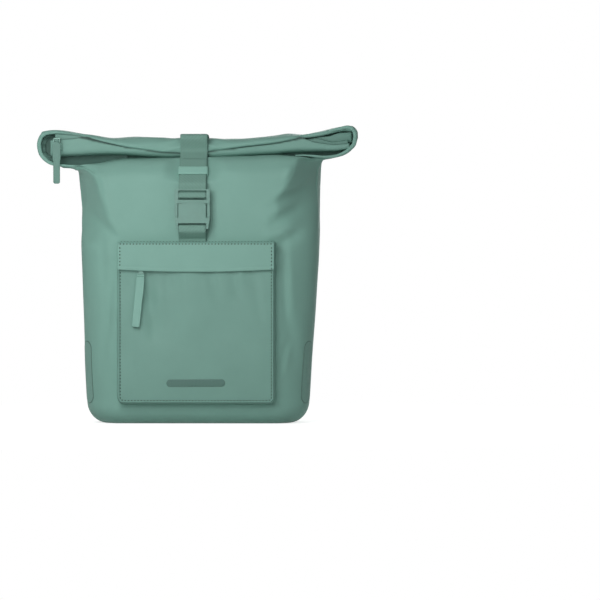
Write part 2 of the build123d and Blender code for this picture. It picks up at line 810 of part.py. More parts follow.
for name, place in hook_places.items():
    cheek_faces = (place - hook_width / 2, place + hook_width / 2 - cheek_thickness)
    latch_low = place - hook_width / 2 + cheek_thickness + side_clearance
    latch_high = place + hook_width / 2 - cheek_thickness - side_clearance
    latch_width = latch_high - latch_low - spring_width - side_clearance
    with BuildPart() as rack_hook:
        with BuildSketch(Plane.YZ.offset(place - hook_width / 2)):
            with Locations((tube_y, hook_tube_height)):
                Circle(hook_outer)
                Circle(hook_inner, mode=Mode.SUBTRACT)
                Rectangle(
                    2 * hook_outer, hook_outer, align=(Align.CENTER, Align.MAX), mode=Mode.SUBTRACT
                )
            with Locations((rail_front, hook_tube_height)):
                Rectangle(hook_wall, hook_tube_height - hook_leg_bottom, align=(Align.MIN, Align.MAX))
            with Locations((tube_y + hook_outer, hook_tube_height)):
                Rectangle(hook_wall, hook_tip_drop, align=(Align.MAX, Align.MAX))
        extrude(amount=hook_width)
        for face in cheek_faces:
            with BuildSketch(Plane.YZ.offset(face)):
                with Locations((pin_y, pin_height)):
                    Circle(cheek_round)
                with Locations((rail_front, pin_height)):
                    Rectangle(pin_out, 2 * cheek_round, align=(Align.MIN, Align.CENTER))
            extrude(amount=cheek_thickness)
        with BuildSketch(Plane.YZ.offset(place - hook_width / 2)):
            with Locations((pin_y, pin_height)):
                Circle(pin_radius + hinge_clearance)
        extrude(amount=hook_width, mode=Mode.SUBTRACT)
        with BuildSketch(Plane.XZ.offset(-leg_front)):
            with Locations([(x, height) for x, height in hook_screw_points if abs(x - place) < hook_width]):
                Circle(hook_screw_radius + hinge_clearance)
        extrude(amount=hook_wall, mode=Mode.SUBTRACT)
    rack_hook.part.label = f"rack_hook_{name}"
    export_step(rack_hook.part, f"parts/rack_hook_{name}.step")

    with BuildPart() as hook_liner:
        with BuildSketch(Plane.YZ.offset(place - hook_width / 2)):
            with Locations((tube_y, hook_tube_height)):
                Circle(hook_inner - hinge_clearance)
                Circle(rack_tube_radius, mode=Mode.SUBTRACT)
                Rectangle(
                    2 * hook_outer, hook_outer, align=(Align.CENTER, Align.MAX), mode=Mode.SUBTRACT
                )
        extrude(amount=hook_width)
    hook_liner.part.label = f"hook_liner_{name}"
    export_step(hook_liner.part, f"parts/hook_liner_{name}.step")

    with BuildPart() as latch:
        with BuildSketch(Plane.YZ.offset(latch_low)):
            with Locations((pin_y, pin_height)):
                Circle(latch_boss_radius)
            with Locations((pin_y + latch_reach, pin_height + latch_rise)):
                Circle(latch_tip_radius)
            make_hull()
            with Locations((pin_y, pin_height)):
                Circle(pin_radius + hinge_clearance, mode=Mode.SUBTRACT)
        extrude(amount=latch_width)
    latch.part.label = f"latch_{name}"
    export_step(latch.part, f"parts/latch_{name}.step")

    with BuildPart() as latch_pin:
        with BuildSketch(Plane.YZ.offset(place - hook_width / 2)):
            with Locations((pin_y, pin_height)):
                Circle(pin_radius)
        extrude(amount=hook_width)
    latch_pin.part.label = f"latch_pin_{name}"
    export_step(latch_pin.part, f"parts/latch_pin_{name}.step")

    with BuildPart() as latch_spring:
        with BuildSketch(Plane.YZ.offset(latch_high - spring_width)):
            with Locations((pin_y, pin_height)):
                Circle(pin_radius + side_clearance + spring_wire)
                Circle(pin_radius + side_clearance, mode=Mode.SUBTRACT)
        extrude(amount=spring_width)
    latch_spring.part.label = f"latch_spring_{name}"
    export_step(latch_spring.part, f"parts/latch_spring_{name}.step")

# --- swivelling lower hook ------------------------------------------------------------------
anchor_back = rail_front + side_clearance
anchor_face = anchor_back + anchor_plate
anchor_bottom = lower_rail_middle - anchor_drop
finger_low = -anchor_width / 2
with BuildPart() as anchor_hook:
    with BuildSketch(Plane.XZ.offset(-anchor_face)):
        with Locations((0, lower_rail_middle)):
            Circle(anchor_boss_radius)
        with Locations((0, lower_rail_middle)):
            Rectangle(anchor_width, anchor_drop, align=(Align.CENTER, Align.MAX))
        with Locations((0, lower_rail_middle)):
            Circle(anchor_pin_radius + hinge_clearance, mode=Mode.SUBTRACT)
    extrude(amount=anchor_plate)
    with BuildSketch(Plane.XY.offset(anchor_bottom)):
        with Locations((finger_low, anchor_back)):
            Rectangle(
                anchor_finger,
                anchor_plate + anchor_gap + anchor_finger,
                align=(Align.MIN, Align.MIN),
            )
        with Locations((finger_low, anchor_face + anchor_gap)):
            Rectangle(anchor_width, anchor_finger, align=(Align.MIN, Align.MIN))
    extrude(amount=anchor_finger_height)
anchor_hook.part.label = "anchor_hook"

with BuildPart() as anchor_pin:
    with BuildSketch(Plane.XZ.offset(-(anchor_face + side_clearance))):
        with Locations((0, lower_rail_middle)):
            Circle(anchor_pin_radius)
    extrude(amount=anchor_face + side_clearance - back)
    with BuildSketch(Plane.XZ.offset(-(anchor_face + side_clearance + screw_head_height))):
        with Locations((0, lower_rail_middle)):
            Circle(anchor_head_radius)
    extrude(amount=screw_head_height)
anchor_pin.part.label = "anchor_pin"

pieces = (
    front_panel, back_panel, left_side_panel, right_side_panel, base_panel, neck_sleeve,
    back_board, base_board, roll_top, mouth_stiffener, mouth_zip_end, mouth_slider, mouth_pull,
    pocket_panel, flap_seam, pocket_flap, pocket_zip_tape, pocket_zip_teeth, pocket_zip_slider,
    pocket_pull, reflector, buckle_socket, buckle_plug, anchor_webbing, closure_strap, strap_arch,
    rear_strap, sewn_strap, strap_keeper, hook_rail, lower_rail, rail_screws, lower_rail_screws,
    screw_nuts, hook_screws, anchor_hook, anchor_pin,
)
for piece in pieces:
    export_step(piece.part, f"parts/{piece.part.label}.step")

print("keeper way", slant_way, "slant length", slant_length, "tail end", tail_end)
print("rack tube axis y", tube_y, "z", hook_tube_height)
print("latch pin y", pin_y, "z", pin_height)
print("mouth pull bar", mouth_pull_place, mouth_bar_y, mouth_bar_height)
print("pocket pull bar", slider_start, pull_bar_y, pull_bar_height)
print("flap fold", flap_middle, fold_height)
print("arm pivots", strap_offset - arm_middle, strap_offset + arm_middle, arm_top - arm_pivot_drop)
print("anchor pin z", lower_rail_middle)
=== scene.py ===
import json
import math
from functools import cache

import bpy
import numpy as np
from bpy.props import FloatProperty, FloatVectorProperty, PointerProperty
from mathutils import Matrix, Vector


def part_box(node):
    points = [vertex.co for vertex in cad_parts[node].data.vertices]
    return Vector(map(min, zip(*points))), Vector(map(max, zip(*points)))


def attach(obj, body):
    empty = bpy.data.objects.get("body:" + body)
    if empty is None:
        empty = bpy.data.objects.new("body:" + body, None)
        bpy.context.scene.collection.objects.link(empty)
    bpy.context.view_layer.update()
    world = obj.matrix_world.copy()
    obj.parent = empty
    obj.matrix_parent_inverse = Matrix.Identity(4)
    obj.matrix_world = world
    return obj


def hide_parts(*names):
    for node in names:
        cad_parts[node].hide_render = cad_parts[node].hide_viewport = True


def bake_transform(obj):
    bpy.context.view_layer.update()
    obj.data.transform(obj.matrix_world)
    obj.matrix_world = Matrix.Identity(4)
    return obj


bl_info = {
    "name": "Roll-top pannier bag",
    "version": (1, 0, 0),
    "blender": (4, 5, 0),
    "location": "3D View > Sidebar > Pannier bag",
    "description": "Builds the fabric, webbing, trims and stage of a roll-top pannier bag",
    "category": "Add Mesh",
}

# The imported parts. Their bodies and nodes carry everything that is built below.
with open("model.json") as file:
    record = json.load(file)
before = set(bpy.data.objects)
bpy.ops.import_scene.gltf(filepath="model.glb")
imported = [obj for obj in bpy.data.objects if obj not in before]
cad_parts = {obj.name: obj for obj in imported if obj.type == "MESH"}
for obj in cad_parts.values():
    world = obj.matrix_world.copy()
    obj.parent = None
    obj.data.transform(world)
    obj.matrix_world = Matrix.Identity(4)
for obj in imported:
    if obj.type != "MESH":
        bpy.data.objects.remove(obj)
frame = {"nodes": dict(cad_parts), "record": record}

MM = 0.001  # shapes below are worked out in millimetres

# --- sizes of the bag, in millimetres ---------------------------------------------------
BASE_HALF = 152.5
WIDENING = 17.0 / 330.0  # how much wider each half gets, per millimetre of height
HALF_DEPTH = 70.0
CORNER, FRONT_CORNER, BASE_ROUND = 28.0, 50.0, 26.0
BODY_TOP = 322.0
TILT = 0.0235  # how far the mouth climbs towards the right, per millimetre
LAYERS = 2.6  # half the thickness of the mouth's two layers
SLEEVE_HALF = 223.0
ROUND_COUNT = 320  # points in each ring of the skin
STRAP_MIDDLE, STRAP_HALF, WEB_THICK = -5.0, 19.0, 1.6
POCKET_HALF, POCKET_FOOT, POCKET_TOP, POCKET_MOUTH = 107.0, 30.0, 250.5, 228.5
POCKET_FRONT = -84.0
FLAP_FOLD, FLAP_FOOT, FLAP_HALF = (-88.9, 245.2), 212.0, POCKET_HALF + 0.4
ZIP_HEIGHT, ZIP_DEPTH = 236.5, -82.0


# --- small helpers ----------------------------------------------------------------------
def ease(value, low, high):
    """0 below low, 1 above high and smooth in between."""
    t = np.clip((value - low) / (high - low), 0.0, 1.0)
    return t * t * (3 - 2 * t)


def hump(value, middle, width):
    """A soft hump of height 1."""
    return np.exp(-(((value - middle) / width) ** 2))


def by_strap(x, near, far):
    """1 near the strap's middle line and 0 far from it."""
    return 1 - ease(np.abs(x - STRAP_MIDDLE), near, far)


def through(points, x):
    """A smooth line through (place, value) points, without overshoot."""
    px, py = np.array(points, float).T
    slope = np.diff(py) / np.diff(px)
    tangent = np.zeros_like(py)
    tangent[0], tangent[-1] = slope[0], slope[-1]
    for i in range(1, len(py) - 1):
        if slope[i - 1] * slope[i] > 0:
            tangent[i] = 2 * slope[i - 1] * slope[i] / (slope[i - 1] + slope[i])
    x = np.clip(x, px[0], px[-1])
    i = np.clip(np.searchsorted(px, x, side="right") - 1, 0, len(px) - 2)
    span = px[i + 1] - px[i]
    t = (x - px[i]) / span
    return (
        (2 * t**3 - 3 * t**2 + 1) * py[i]
        + (t**3 - 2 * t**2 + t) * span * tangent[i]
        + (3 * t**2 - 2 * t**3) * py[i + 1]
        + (t**3 - t**2) * span * tangent[i + 1]
    )


def between_rows(table, parts):
    """A table's columns with smooth values between its rows, parts to a row."""
    steps = np.linspace(0, len(table) - 1, (len(table) - 1) * parts + 1)
    return steps, [through(list(enumerate(column)), steps) for column in np.array(table).T]


def wander(x, z, size, seed=0.0):
    """Slow uneven waves between about -1 and 1, about size millimetres long."""
    k = 2 * math.pi / size
    return (
        np.sin(k * (0.83 * x + 0.47 * z) + 1.3 + seed)
        + np.sin(k * (-0.39 * x + 0.91 * z) * 1.31 + 4.1 + 2.1 * seed)
        + np.sin(k * (1.07 * x - 0.66 * z) * 0.71 + 2.7 + 0.7 * seed)
    ) / 3.0


def creased(out, x, z, folds):
    """Lays soft folds into a relief. Each is a start, an end, a width and an inward depth,
    and has a low ridge beside it."""
    for (x0, z0), (x1, z1), width, depth in folds:
        length = math.hypot(x1 - x0, z1 - z0)
        ux, uz = (x1 - x0) / length, (z1 - z0) / length
        along = (x - x0) * ux + (z - z0) * uz
        across = (x - x0) * -uz + (z - z0) * ux
        fade = ease(along, -0.35 * length, 0.2 * length)
        fade = fade * (1 - ease(along, 0.8 * length, 1.35 * length))
        ridge = hump(across, 1.9 * width, width)
        out = out - depth * fade * (hump(across, 0, width) - 0.45 * ridge)
    return out


def at(x, y, z):
    """One array of points from their coordinates."""
    return np.stack(np.broadcast_arrays(x, y, z), -1)


def run_of(line):
    """How far along a line each of its points is."""
    return np.append(0.0, np.cumsum(np.linalg.norm(np.diff(line, axis=0), axis=1)))


def on_line(line, shares):
    """The points at shares of a line's length."""
    run = run_of(line)
    return np.stack([np.interp(shares * run[-1], run, column) for column in line.T], 1)


def directions(line):
    """The unit directions along a flat line and square to it."""
    ahead = np.gradient(line, axis=0)
    ahead /= np.linalg.norm(ahead, axis=1, keepdims=True)
    return ahead, np.stack([-ahead[:, 1], ahead[:, 0]], 1)


def outline(a, b, r, shares, r_front=None):
    """A rounded rectangle's x and y at shares of its way round, from the front's middle."""
    r = min(r, a, b)
    q = r if r_front is None else min(r_front, a, 2 * b - r)
    turn = np.linspace(0, math.pi / 2, 15)
    points = [np.array([[0.0, -b]])]
    for cx, cy, start, r in (
        (a - q, q - b, -0.5, q), (a - r, b - r, 0.0, r),
        (r - a, b - r, 0.5, r), (q - a, q - b, 1.0, q),
    ):
        angle = start * math.pi + turn
        points.append(np.stack([cx + r * np.cos(angle), cy + r * np.sin(angle)], 1))
    return on_line(np.concatenate([*points, points[0]]), shares).T


def grid_faces(rows, columns, closed=False):
    """Quads of a grid of rows x columns points; closed joins the last column to the first."""
    return [
        (j + i, j + (i + 1) % columns, j + columns + (i + 1) % columns, j + columns + i)
        for j in range(0, (rows - 1) * columns, columns)
        for i in range(columns if closed else columns - 1)
    ]


def link_object(name, data):
    """An object with this mesh, lamp or camera, in the scene."""
    made = bpy.data.objects.new(name, data)
    bpy.context.scene.collection.objects.link(made)
    return made


def make_piece(name, points, faces, uv=None, smooth=True, closed=False):
    """A mesh object from points in millimetres. A closed shape is turned to face outwards."""
    points = np.asarray(points, float).reshape(-1, 3)
    mesh = bpy.data.meshes.new(name)
    mesh.from_pydata([tuple(p) for p in points * MM], [], faces)
    mesh.update()
    if closed:
        mesh.calc_loop_triangles()
        corners = np.array([t.vertices[:] for t in mesh.loop_triangles])
        a, b, c = (points[corners[:, k]] for k in range(3))
        if (a * np.cross(b, c)).sum() < 0:
            mesh.flip_normals()
    mesh.polygons.foreach_set("use_smooth", [smooth] * len(mesh.polygons))
    if uv is not None:
        where = np.zeros(len(mesh.loops), np.int32)
        mesh.loops.foreach_get("vertex_index", where)
        layer = mesh.uv_layers.new(name="UVMap")
        layer.data.foreach_set("uv", np.asarray(uv, float).reshape(-1, 2)[where].ravel())
    return link_object(name, mesh)


def ring_piece(name, rings, uv=None, ends="capped", flip=False):
    """A piece from rings of points. Its ends are capped, or meet, or only the last one is
    closed by a face and the first stays open against what it lies on."""
    rings = np.array(rings)
    rows, n = rings.shape[:2]
    faces = grid_faces(rows, n, closed=True)
    first, last = tuple(range(n)), tuple(range((rows - 1) * n, rows * n))
    if ends == "meet":
        faces += [(last[i], last[(i + 1) % n], (i + 1) % n, i) for i in range(n)]
    else:
        faces += [first[::-1], last] if ends == "capped" else [last]
    if flip:
        faces = [face[::-1] for face in faces]
    return make_piece(name, rings, faces, uv=uv, closed=ends != "laid")


def modify(made, kind, **values):
    """A modifier with these values set."""
    modifier = made.modifiers.new(kind.title(), kind)
    for key, value in values.items():
        setattr(modifier, key, value)


def soften(made, width, degrees):
    """Rounds the sharp edges off, by a width in millimetres."""
    modify(made, "BEVEL", width=width * MM, segments=2, limit_method="ANGLE",
           angle_limit=math.radians(degrees))


def thicken(made, thickness, offset=-1.0, edge=0.0):
    """Gives a sheet its thickness in millimetres, with softened edges."""
    modify(made, "SOLIDIFY", thickness=thickness * MM, offset=offset, use_even_offset=True)
    if edge:
        soften(made, edge, 50)


def finish_piece(made, finish, slot, body=None, *nodes):
    """Gives a piece its material, lets it ride on its body, and says which nodes
    it stands for. The slot is not used."""
    made.data.materials.clear()
    made.data.materials.append(look(finish))
    if body:
        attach(made, body)
    if nodes:
        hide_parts(*nodes)
    return made


# --- nodes ------------------------------------------------------------------------------
class Graph:
    """Builds one node tree. Where an input takes a node, its first output is meant."""

    def __init__(self, tree):
        self.nodes, self.links = tree.nodes, tree.links

    def fill(self, node, inputs):
        for key, value in inputs.items():
            if isinstance(value, bpy.types.Node):
                value = value.outputs[0]
            if isinstance(value, bpy.types.NodeSocket):
                self.links.new(value, node.inputs[key])
            else:
                node.inputs[key].default_value = value
        return node

    def node(self, kind, inputs=None, **settings):
        made = self.nodes.new(kind)
        for key, value in settings.items():
            setattr(made, key, value)
        return self.fill(made, inputs or {})

    def math(self, operation, a, b=0.0, clamp=False):
        return self.node("ShaderNodeMath", {0: a, 1: b}, operation=operation, use_clamp=clamp)

    def span(self, value, low, high, start=0.0, end=1.0):
        return self.node(
            "ShaderNodeMapRange",
            {"Value": value, "From Min": low, "From Max": high, "To Min": start, "To Max": end},
        )

    def seen(self):
        """1 for rays from the camera, straight or by way of a mirror or glass."""
        rays = self.node("ShaderNodeLightPath").outputs
        mirrored = self.math("MAXIMUM", rays["Is Camera Ray"], rays["Is Glossy Ray"])
        return self.math("MAXIMUM", mirrored, rays["Is Transmission Ray"])


class Shader(Graph):
    """Builds one material round its colour."""

    def __init__(self, name, colour=(1, 1, 1)):
        self.material = bpy.data.materials.new(name)
        self.material.use_nodes = True
        super().__init__(self.material.node_tree)
        self.colour = colour
        coordinates = self.node("ShaderNodeTexCoord").outputs
        self.place, self.map = coordinates["Object"], coordinates["UV"]

    def noise(self, scale, detail=4.0, roughness=0.55, vector=None):
        return self.node(
            "ShaderNodeTexNoise",
            {"Vector": vector or self.place, "Scale": scale, "Detail": detail,
             "Roughness": roughness},
        )

    def wave(self, axis, pitch, vector=None, distortion=0.0):
        """Bands of light and dark, a pitch apart."""
        made = self.node(
            "ShaderNodeTexWave",
            {"Vector": vector or self.place, "Scale": 2 * math.pi / (20 * pitch),
             "Distortion": distortion},
            wave_type="BANDS", bands_direction=axis,
        )
        return made.outputs["Fac"]

    def weave(self, pitch):
        """A fine cross weave that shows on faces turned any way."""
        x, y, z = (self.wave(axis, pitch) for axis in "XYZ")
        return self.math("ADD", self.math("ADD", x, y), z)

    def blend(self, share, a, b):
        made = self.node("ShaderNodeMix", {}, data_type="RGBA")
        return self.fill(made, {0: share, 6: a, 7: b}).outputs[2]

    def tones(self, share, dark, light):
        return self.blend(share, tint(self.colour, dark), tint(self.colour, light))

    def toned(self, share, under, tone):
        return self.blend(share, under, tint(self.colour, tone))

    def bump(self, height, distance, strength=1.0, under=None):
        inputs = {"Height": height, "Distance": distance, "Strength": strength}
        return self.node("ShaderNodeBump", inputs | ({"Normal": under} if under else {}))

    def split(self, vector, part):
        return self.node("ShaderNodeSeparateXYZ", {0: vector}).outputs[part]

    def finish(self, colour, roughness, normal, specular=0.5, metallic=0.0):
        self.fill(self.nodes["Principled BSDF"], {
            "Base Color": colour, "Roughness": roughness, "Normal": normal,
            "Specular IOR Level": specular, "Metallic": metallic,
        })
        return self.material


def tint(colour, factor):
    """A colour made lighter or darker."""
    return tuple(min(1.0, c * factor) for c in colour[:3]) + (1.0,)


# --- materials --------------------------------------------------------------------------
def coated_cloth(name, colour, gloss=0.6, painted_fold_shade=None):
    """Coated polyester: a matt skin over a fine weave, a little scuffed near the base.
    Its last value is a darker tone, painted shade, for where the piece's own map says that the
    cloth lies in a fold."""
    s = Shader(name, colour)
    grain = s.noise(1250.0, 3.0, 0.7)
    mottle = s.tones(s.span(s.noise(21.0, 5.0, 0.6), 0.35, 0.68), 0.965, 1.03)
    mixed = s.blend(0.35, mottle, s.tones(s.span(grain, 0.3, 0.72), 0.95, 1.04))
    low = s.span(s.split(s.place, "Z"), 0.05, 0.0)
    scuff = s.math("MULTIPLY", low, s.span(s.noise(55.0, 6.0, 0.7), 0.55, 0.72), True)
    wear_and_painted_shade = s.toned(s.math("MULTIPLY", scuff, 0.35), mixed, 1.28)
    dulled = s.span(s.noise(34.0, 4.0), 0.3, 0.7, gloss - 0.05, gloss + 0.06)
    roughness = s.math("ADD", dulled, s.math("MULTIPLY", scuff, 0.12))
    skin = s.bump(s.noise(240.0, 5.0, 0.62), 0.00022, 0.5)
    skin = s.bump(s.weave(bpy.context.scene.pannier_sizes.weave_pitch), 0.00004, 0.6, skin)
    skin = s.bump(grain, 0.00005, 0.5, skin)
    # painted shade in the fold under a lip, where the map's Y reaches 1
    if painted_fold_shade:
        wear_and_painted_shade = s.toned(s.split(s.map, "Y"), wear_and_painted_shade, painted_fold_shade)
    return s.finish(wear_and_painted_shade, roughness, skin, 0.24)


def woven_webbing(name, colour):
    """Ribbed polyester webbing with firm edges, laid along the piece's own map."""
    s = Shader(name, colour)
    ribs, picks, twill = (
        s.wave(axis, pitch, s.map) for axis, pitch in (("X", 1.9), ("Y", 1.15), ("DIAGONAL", 2.4))
    )
    cloth = s.math("ADD", s.math("MULTIPLY", ribs, picks), s.math("MULTIPLY", twill, 0.35))
    centred = s.math("ABSOLUTE", s.math("SUBTRACT", s.split(s.map, "X"), STRAP_HALF))
    selvedge = s.span(centred, STRAP_HALF - 2.4, STRAP_HALF - 1.6)
    fuzz = s.noise(900.0, 4.0, 0.7)
    mixed = s.tones(s.span(cloth, 0.1, 1.1), 0.86, 1.07)
    mixed = s.toned(s.math("MULTIPLY", selvedge, 0.3), mixed, 0.85)
    mixed = s.toned(s.span(s.noise(30.0, 3.0), 0.35, 0.7, 0.0, 0.25), mixed, 1.06)
    skin = s.bump(fuzz, 0.00006, 0.5, s.bump(cloth, 0.00028, 0.55))
    return s.finish(mixed, s.span(fuzz, 0.3, 0.7, 0.68, 0.84), skin, 0.2)


def moulded_plastic(name, colour, gloss=0.42, grain=1500.0, edge=1.1, metallic=0.0):
    """Injection-moulded plastic with a fine spark grain and faint rubbing."""
    s = Shader(name, colour)
    slow = s.noise(60.0, 5.0, 0.6)
    rubbed = s.math("MULTIPLY", s.span(s.noise(180.0, 6.0, 0.7), 0.6, 0.75), 0.3)
    mixed = s.toned(rubbed, s.tones(s.span(slow, 0.35, 0.7), 0.95, 1.04), edge)
    roughness = s.span(s.noise(120.0, 5.0), 0.3, 0.72, gloss - 0.06, gloss + 0.1)
    skin = s.bump(slow, 0.0002, 0.2, s.bump(s.noise(grain, 3.0, 0.75), 0.00006, 0.5))
    return s.finish(mixed, roughness, skin, 0.32, metallic)


def reflective_tape(name, colour, gloss=0.3, rim=None):
    """Tone-on-tone reflective tape: a glossy skin over small prism cells, in a welded rim that is
    partly painted shadow along its edge.
    """
    s = Shader(name, colour)
    cells = s.node(
        "ShaderNodeTexVoronoi", {"Vector": s.place, "Scale": 520.0, "Randomness": 0.25},
        feature="DISTANCE_TO_EDGE",
    )
    line = s.span(cells.outputs["Distance"], 0.02, 0.12)
    slow = s.span(s.noise(70.0, 4.0), 0.35, 0.7, 0.0, 0.35)
    mixed = s.toned(slow, s.tones(line, 0.82, 1.06), 0.93)
    roughness = s.span(s.noise(160.0, 5.0), 0.3, 0.7, gloss, gloss + 0.14)
    # a darker welded rim, partly painted shadow along the patch's edge
    if rim:
        mixed = s.blend(s.span(s.split(s.map, "Y"), 0.09, 0.15), tint(colour, rim), mixed)
    return s.finish(mixed, roughness, s.bump(line, 0.00008, 0.5), 0.28)


def brushed_metal(name, colour, gloss=0.32):
    """Plated steel with fine turning marks and a few dull spots."""
    s = Shader(name, colour)
    stretch = s.node("ShaderNodeMapping", {"Vector": s.place, "Scale": (60.0, 1800.0, 60.0)})
    lines = s.noise(1.0, 4.0, 0.6, stretch.outputs[0])
    spots = s.noise(320.0, 5.0, 0.7)
    mixed = s.tones(s.span(lines, 0.3, 0.7), 0.88, 1.08)
    mixed = s.toned(s.span(spots, 0.6, 0.75, 0.0, 0.4), mixed, 0.7)
    roughness = s.span(spots, 0.3, 0.75, gloss - 0.05, gloss + 0.16)
    return s.finish(mixed, roughness, s.bump(lines, 0.00004, 0.5), metallic=1.0)


def thread(name, colour):
    """Twisted sewing thread."""
    s = Shader(name, colour)
    twist = s.wave("DIAGONAL", 0.0005, None, 1.5)
    roughness = s.span(s.noise(700.0), 0.3, 0.7, 0.6, 0.8)
    return s.finish(s.tones(twist, 0.8, 1.1), roughness, s.bump(twist, 0.00006, 0.6))


LOOKS = {
    # name: maker, colour, its tone, then the maker's own values
    "bag cloth": (coated_cloth, "cloth", 1.0),
    # painted shade: the pocket is the bag's own cloth, darkened for the dimmer light falling on it
    "pocket cloth": (coated_cloth, "cloth", 0.87),
    "trim cloth": (coated_cloth, "cloth", 1.05, 0.52),
    "loop cloth": (coated_cloth, "cloth", 1.26, 0.52),
    # painted shade: the band's cloth a little darker, and much darker where its map marks the fold
    # under the lip
    "rolled cloth": (coated_cloth, "cloth", 0.93, 0.6, 0.3),
    # painted shade: the roll's inner turns are the bag's cloth, darkened for the shade inside the
    # roll
    "folded cloth": (coated_cloth, "cloth", 0.82),
    # painted shade: a dark sheet that stands for the shade in the sleeve's hollows
    "inner cloth": (coated_cloth, "cloth", 0.42, 0.7),
    "shaded trim": (coated_cloth, "cloth", 0.7, 0.56),
    "strap webbing": (woven_webbing, "webbing", 1.0),
    "zip tape": (woven_webbing, "cloth", 0.62),
    "zip teeth": (moulded_plastic, "cloth", 0.55, 0.38),
    "painted slider": (moulded_plastic, "cloth", 0.6, 0.33, 900.0, 1.4, 0.3),
    "reflective tape": (reflective_tape, "reflector", 1.0),
    "corner tape": (reflective_tape, "cloth", 0.91, 0.52, 0.55),
    # its darker rim is a welded edge and partly painted shadow along the patch's edge
    "buckle plastic": (moulded_plastic, "buckle", 1.0, 0.45),
    "board": (moulded_plastic, "rack_plastic", 1.0, 0.6, 500.0),
    "rail plastic": (moulded_plastic, "rack_plastic", 1.0, 0.55, 1100.0, 1.5),
    "hook plastic": (moulded_plastic, "rack_plastic", 1.0, 0.4, 1500.0, 1.6),
    "latch plastic": (moulded_plastic, "rack_plastic", 1.7, 0.42),
    "liner rubber": (moulded_plastic, "rack_plastic", 2.3, 0.72, 700.0),
    "steel": (brushed_metal, "steel", 1.0),
    # painted shade: stitches far darker than the cloth, standing for the shade in the needle pits
    "seam thread": (thread, "cloth", 0.15),
    "strap thread": (thread, "webbing", 0.6),
}


@cache
def look(name):
    """The finish of that name, made once from the scene's colours."""
    maker, colour, tone, *values = LOOKS[name]
    colour = getattr(bpy.context.scene.pannier_colours, colour)
    return maker(name.title().replace(" ", ""), tint(colour, tone), *values)


# --- geometry nodes for what repeats -----------------------------------------------------
@cache
def row_tree(kind, finish):
    """Places small copies along each line: stitches, or the teeth of a zip."""
    tree = bpy.data.node_groups.new(f"{kind} row", "GeometryNodeTree")
    face = tree.interface
    face.new_socket("Geometry", in_out="INPUT", socket_type="NodeSocketGeometry")
    for name, default in (("Pitch", 3.2), ("Length", 2.2), ("Width", 0.55), ("Height", 0.5)):
        socket = face.new_socket(name, in_out="INPUT", socket_type="NodeSocketFloat")
        socket.default_value = default * MM
    face.new_socket("Geometry", in_out="OUTPUT", socket_type="NodeSocketGeometry")
    g = Graph(tree)
    start = g.node("NodeGroupInput").outputs
    line = g.node("GeometryNodeMeshToCurve", {"Mesh": start["Geometry"]})
    points = g.node("GeometryNodeCurveToPoints", mode="LENGTH")
    g.fill(points, {"Curve": line, "Length": start["Pitch"]})
    facing = g.node("GeometryNodeInputNamedAttribute", {"Name": "facing"},
                    data_type="FLOAT_VECTOR")
    up = g.node("FunctionNodeAlignRotationToVector", {"Vector": facing}, axis="Z")
    ahead = g.node("FunctionNodeAlignRotationToVector",
                   {"Rotation": up, "Vector": points.outputs["Tangent"]},
                   axis="X", pivot_axis="Z")
    if kind == "stitch":
        shape = g.node("GeometryNodeMeshUVSphere", {"Segments": 8, "Rings": 6, "Radius": 0.5})
    else:
        shape = g.node("GeometryNodeMeshCylinder", {"Vertices": 10, "Radius": 0.5, "Depth": 1.0})
    size = g.node("ShaderNodeCombineXYZ",
                  {"X": start["Length"], "Y": start["Width"], "Z": start["Height"]})
    place = g.node("GeometryNodeInstanceOnPoints",
                   {"Points": points, "Instance": shape, "Rotation": ahead, "Scale": size})
    real = g.node("GeometryNodeRealizeInstances", {"Geometry": place})
    paint = g.node("GeometryNodeSetMaterial", {"Geometry": real, "Material": look(finish)})
    g.node("NodeGroupOutput", {"Geometry": paint})
    return tree


def rows_of(name, lines, finish, slot, body, kind="stitch", **sizes):
    """Rows of stitches or teeth along lines of (points, facing), in millimetres."""
    points, edges, ways = [], [], []
    for run, facing in lines:
        edges += [(len(points) + i, len(points) + i + 1) for i in range(len(run) - 1)]
        points += [tuple(p) for p in np.asarray(run, float) * MM]
        ways += [facing] * len(run)
    mesh = bpy.data.meshes.new(name + "_line")
    mesh.from_pydata(points, edges, [])
    attribute = mesh.attributes.new("facing", "FLOAT_VECTOR", "POINT")
    attribute.data.foreach_set("vector", np.array(ways, np.float32).ravel())
    line = link_object(name + "_line", mesh)
    modifier = line.modifiers.new("Rows", "NODES")
    modifier.node_group = row_tree(kind, finish)
    for item in modifier.node_group.interface.items_tree:
        if item.in_out == "INPUT" and item.name.lower() in sizes:
            modifier[item.identifier] = sizes[item.name.lower()] * MM
    seen = bpy.context.evaluated_depsgraph_get()
    real = bpy.data.meshes.new_from_object(line.evaluated_get(seen))
    bpy.data.objects.remove(line)
    real.name = name
    if "facing" in real.attributes:
        real.attributes.remove(real.attributes["facing"])
    real.polygons.foreach_set("use_smooth", [True] * len(real.polygons))
    return finish_piece(link_object(name, real), finish, slot, body)


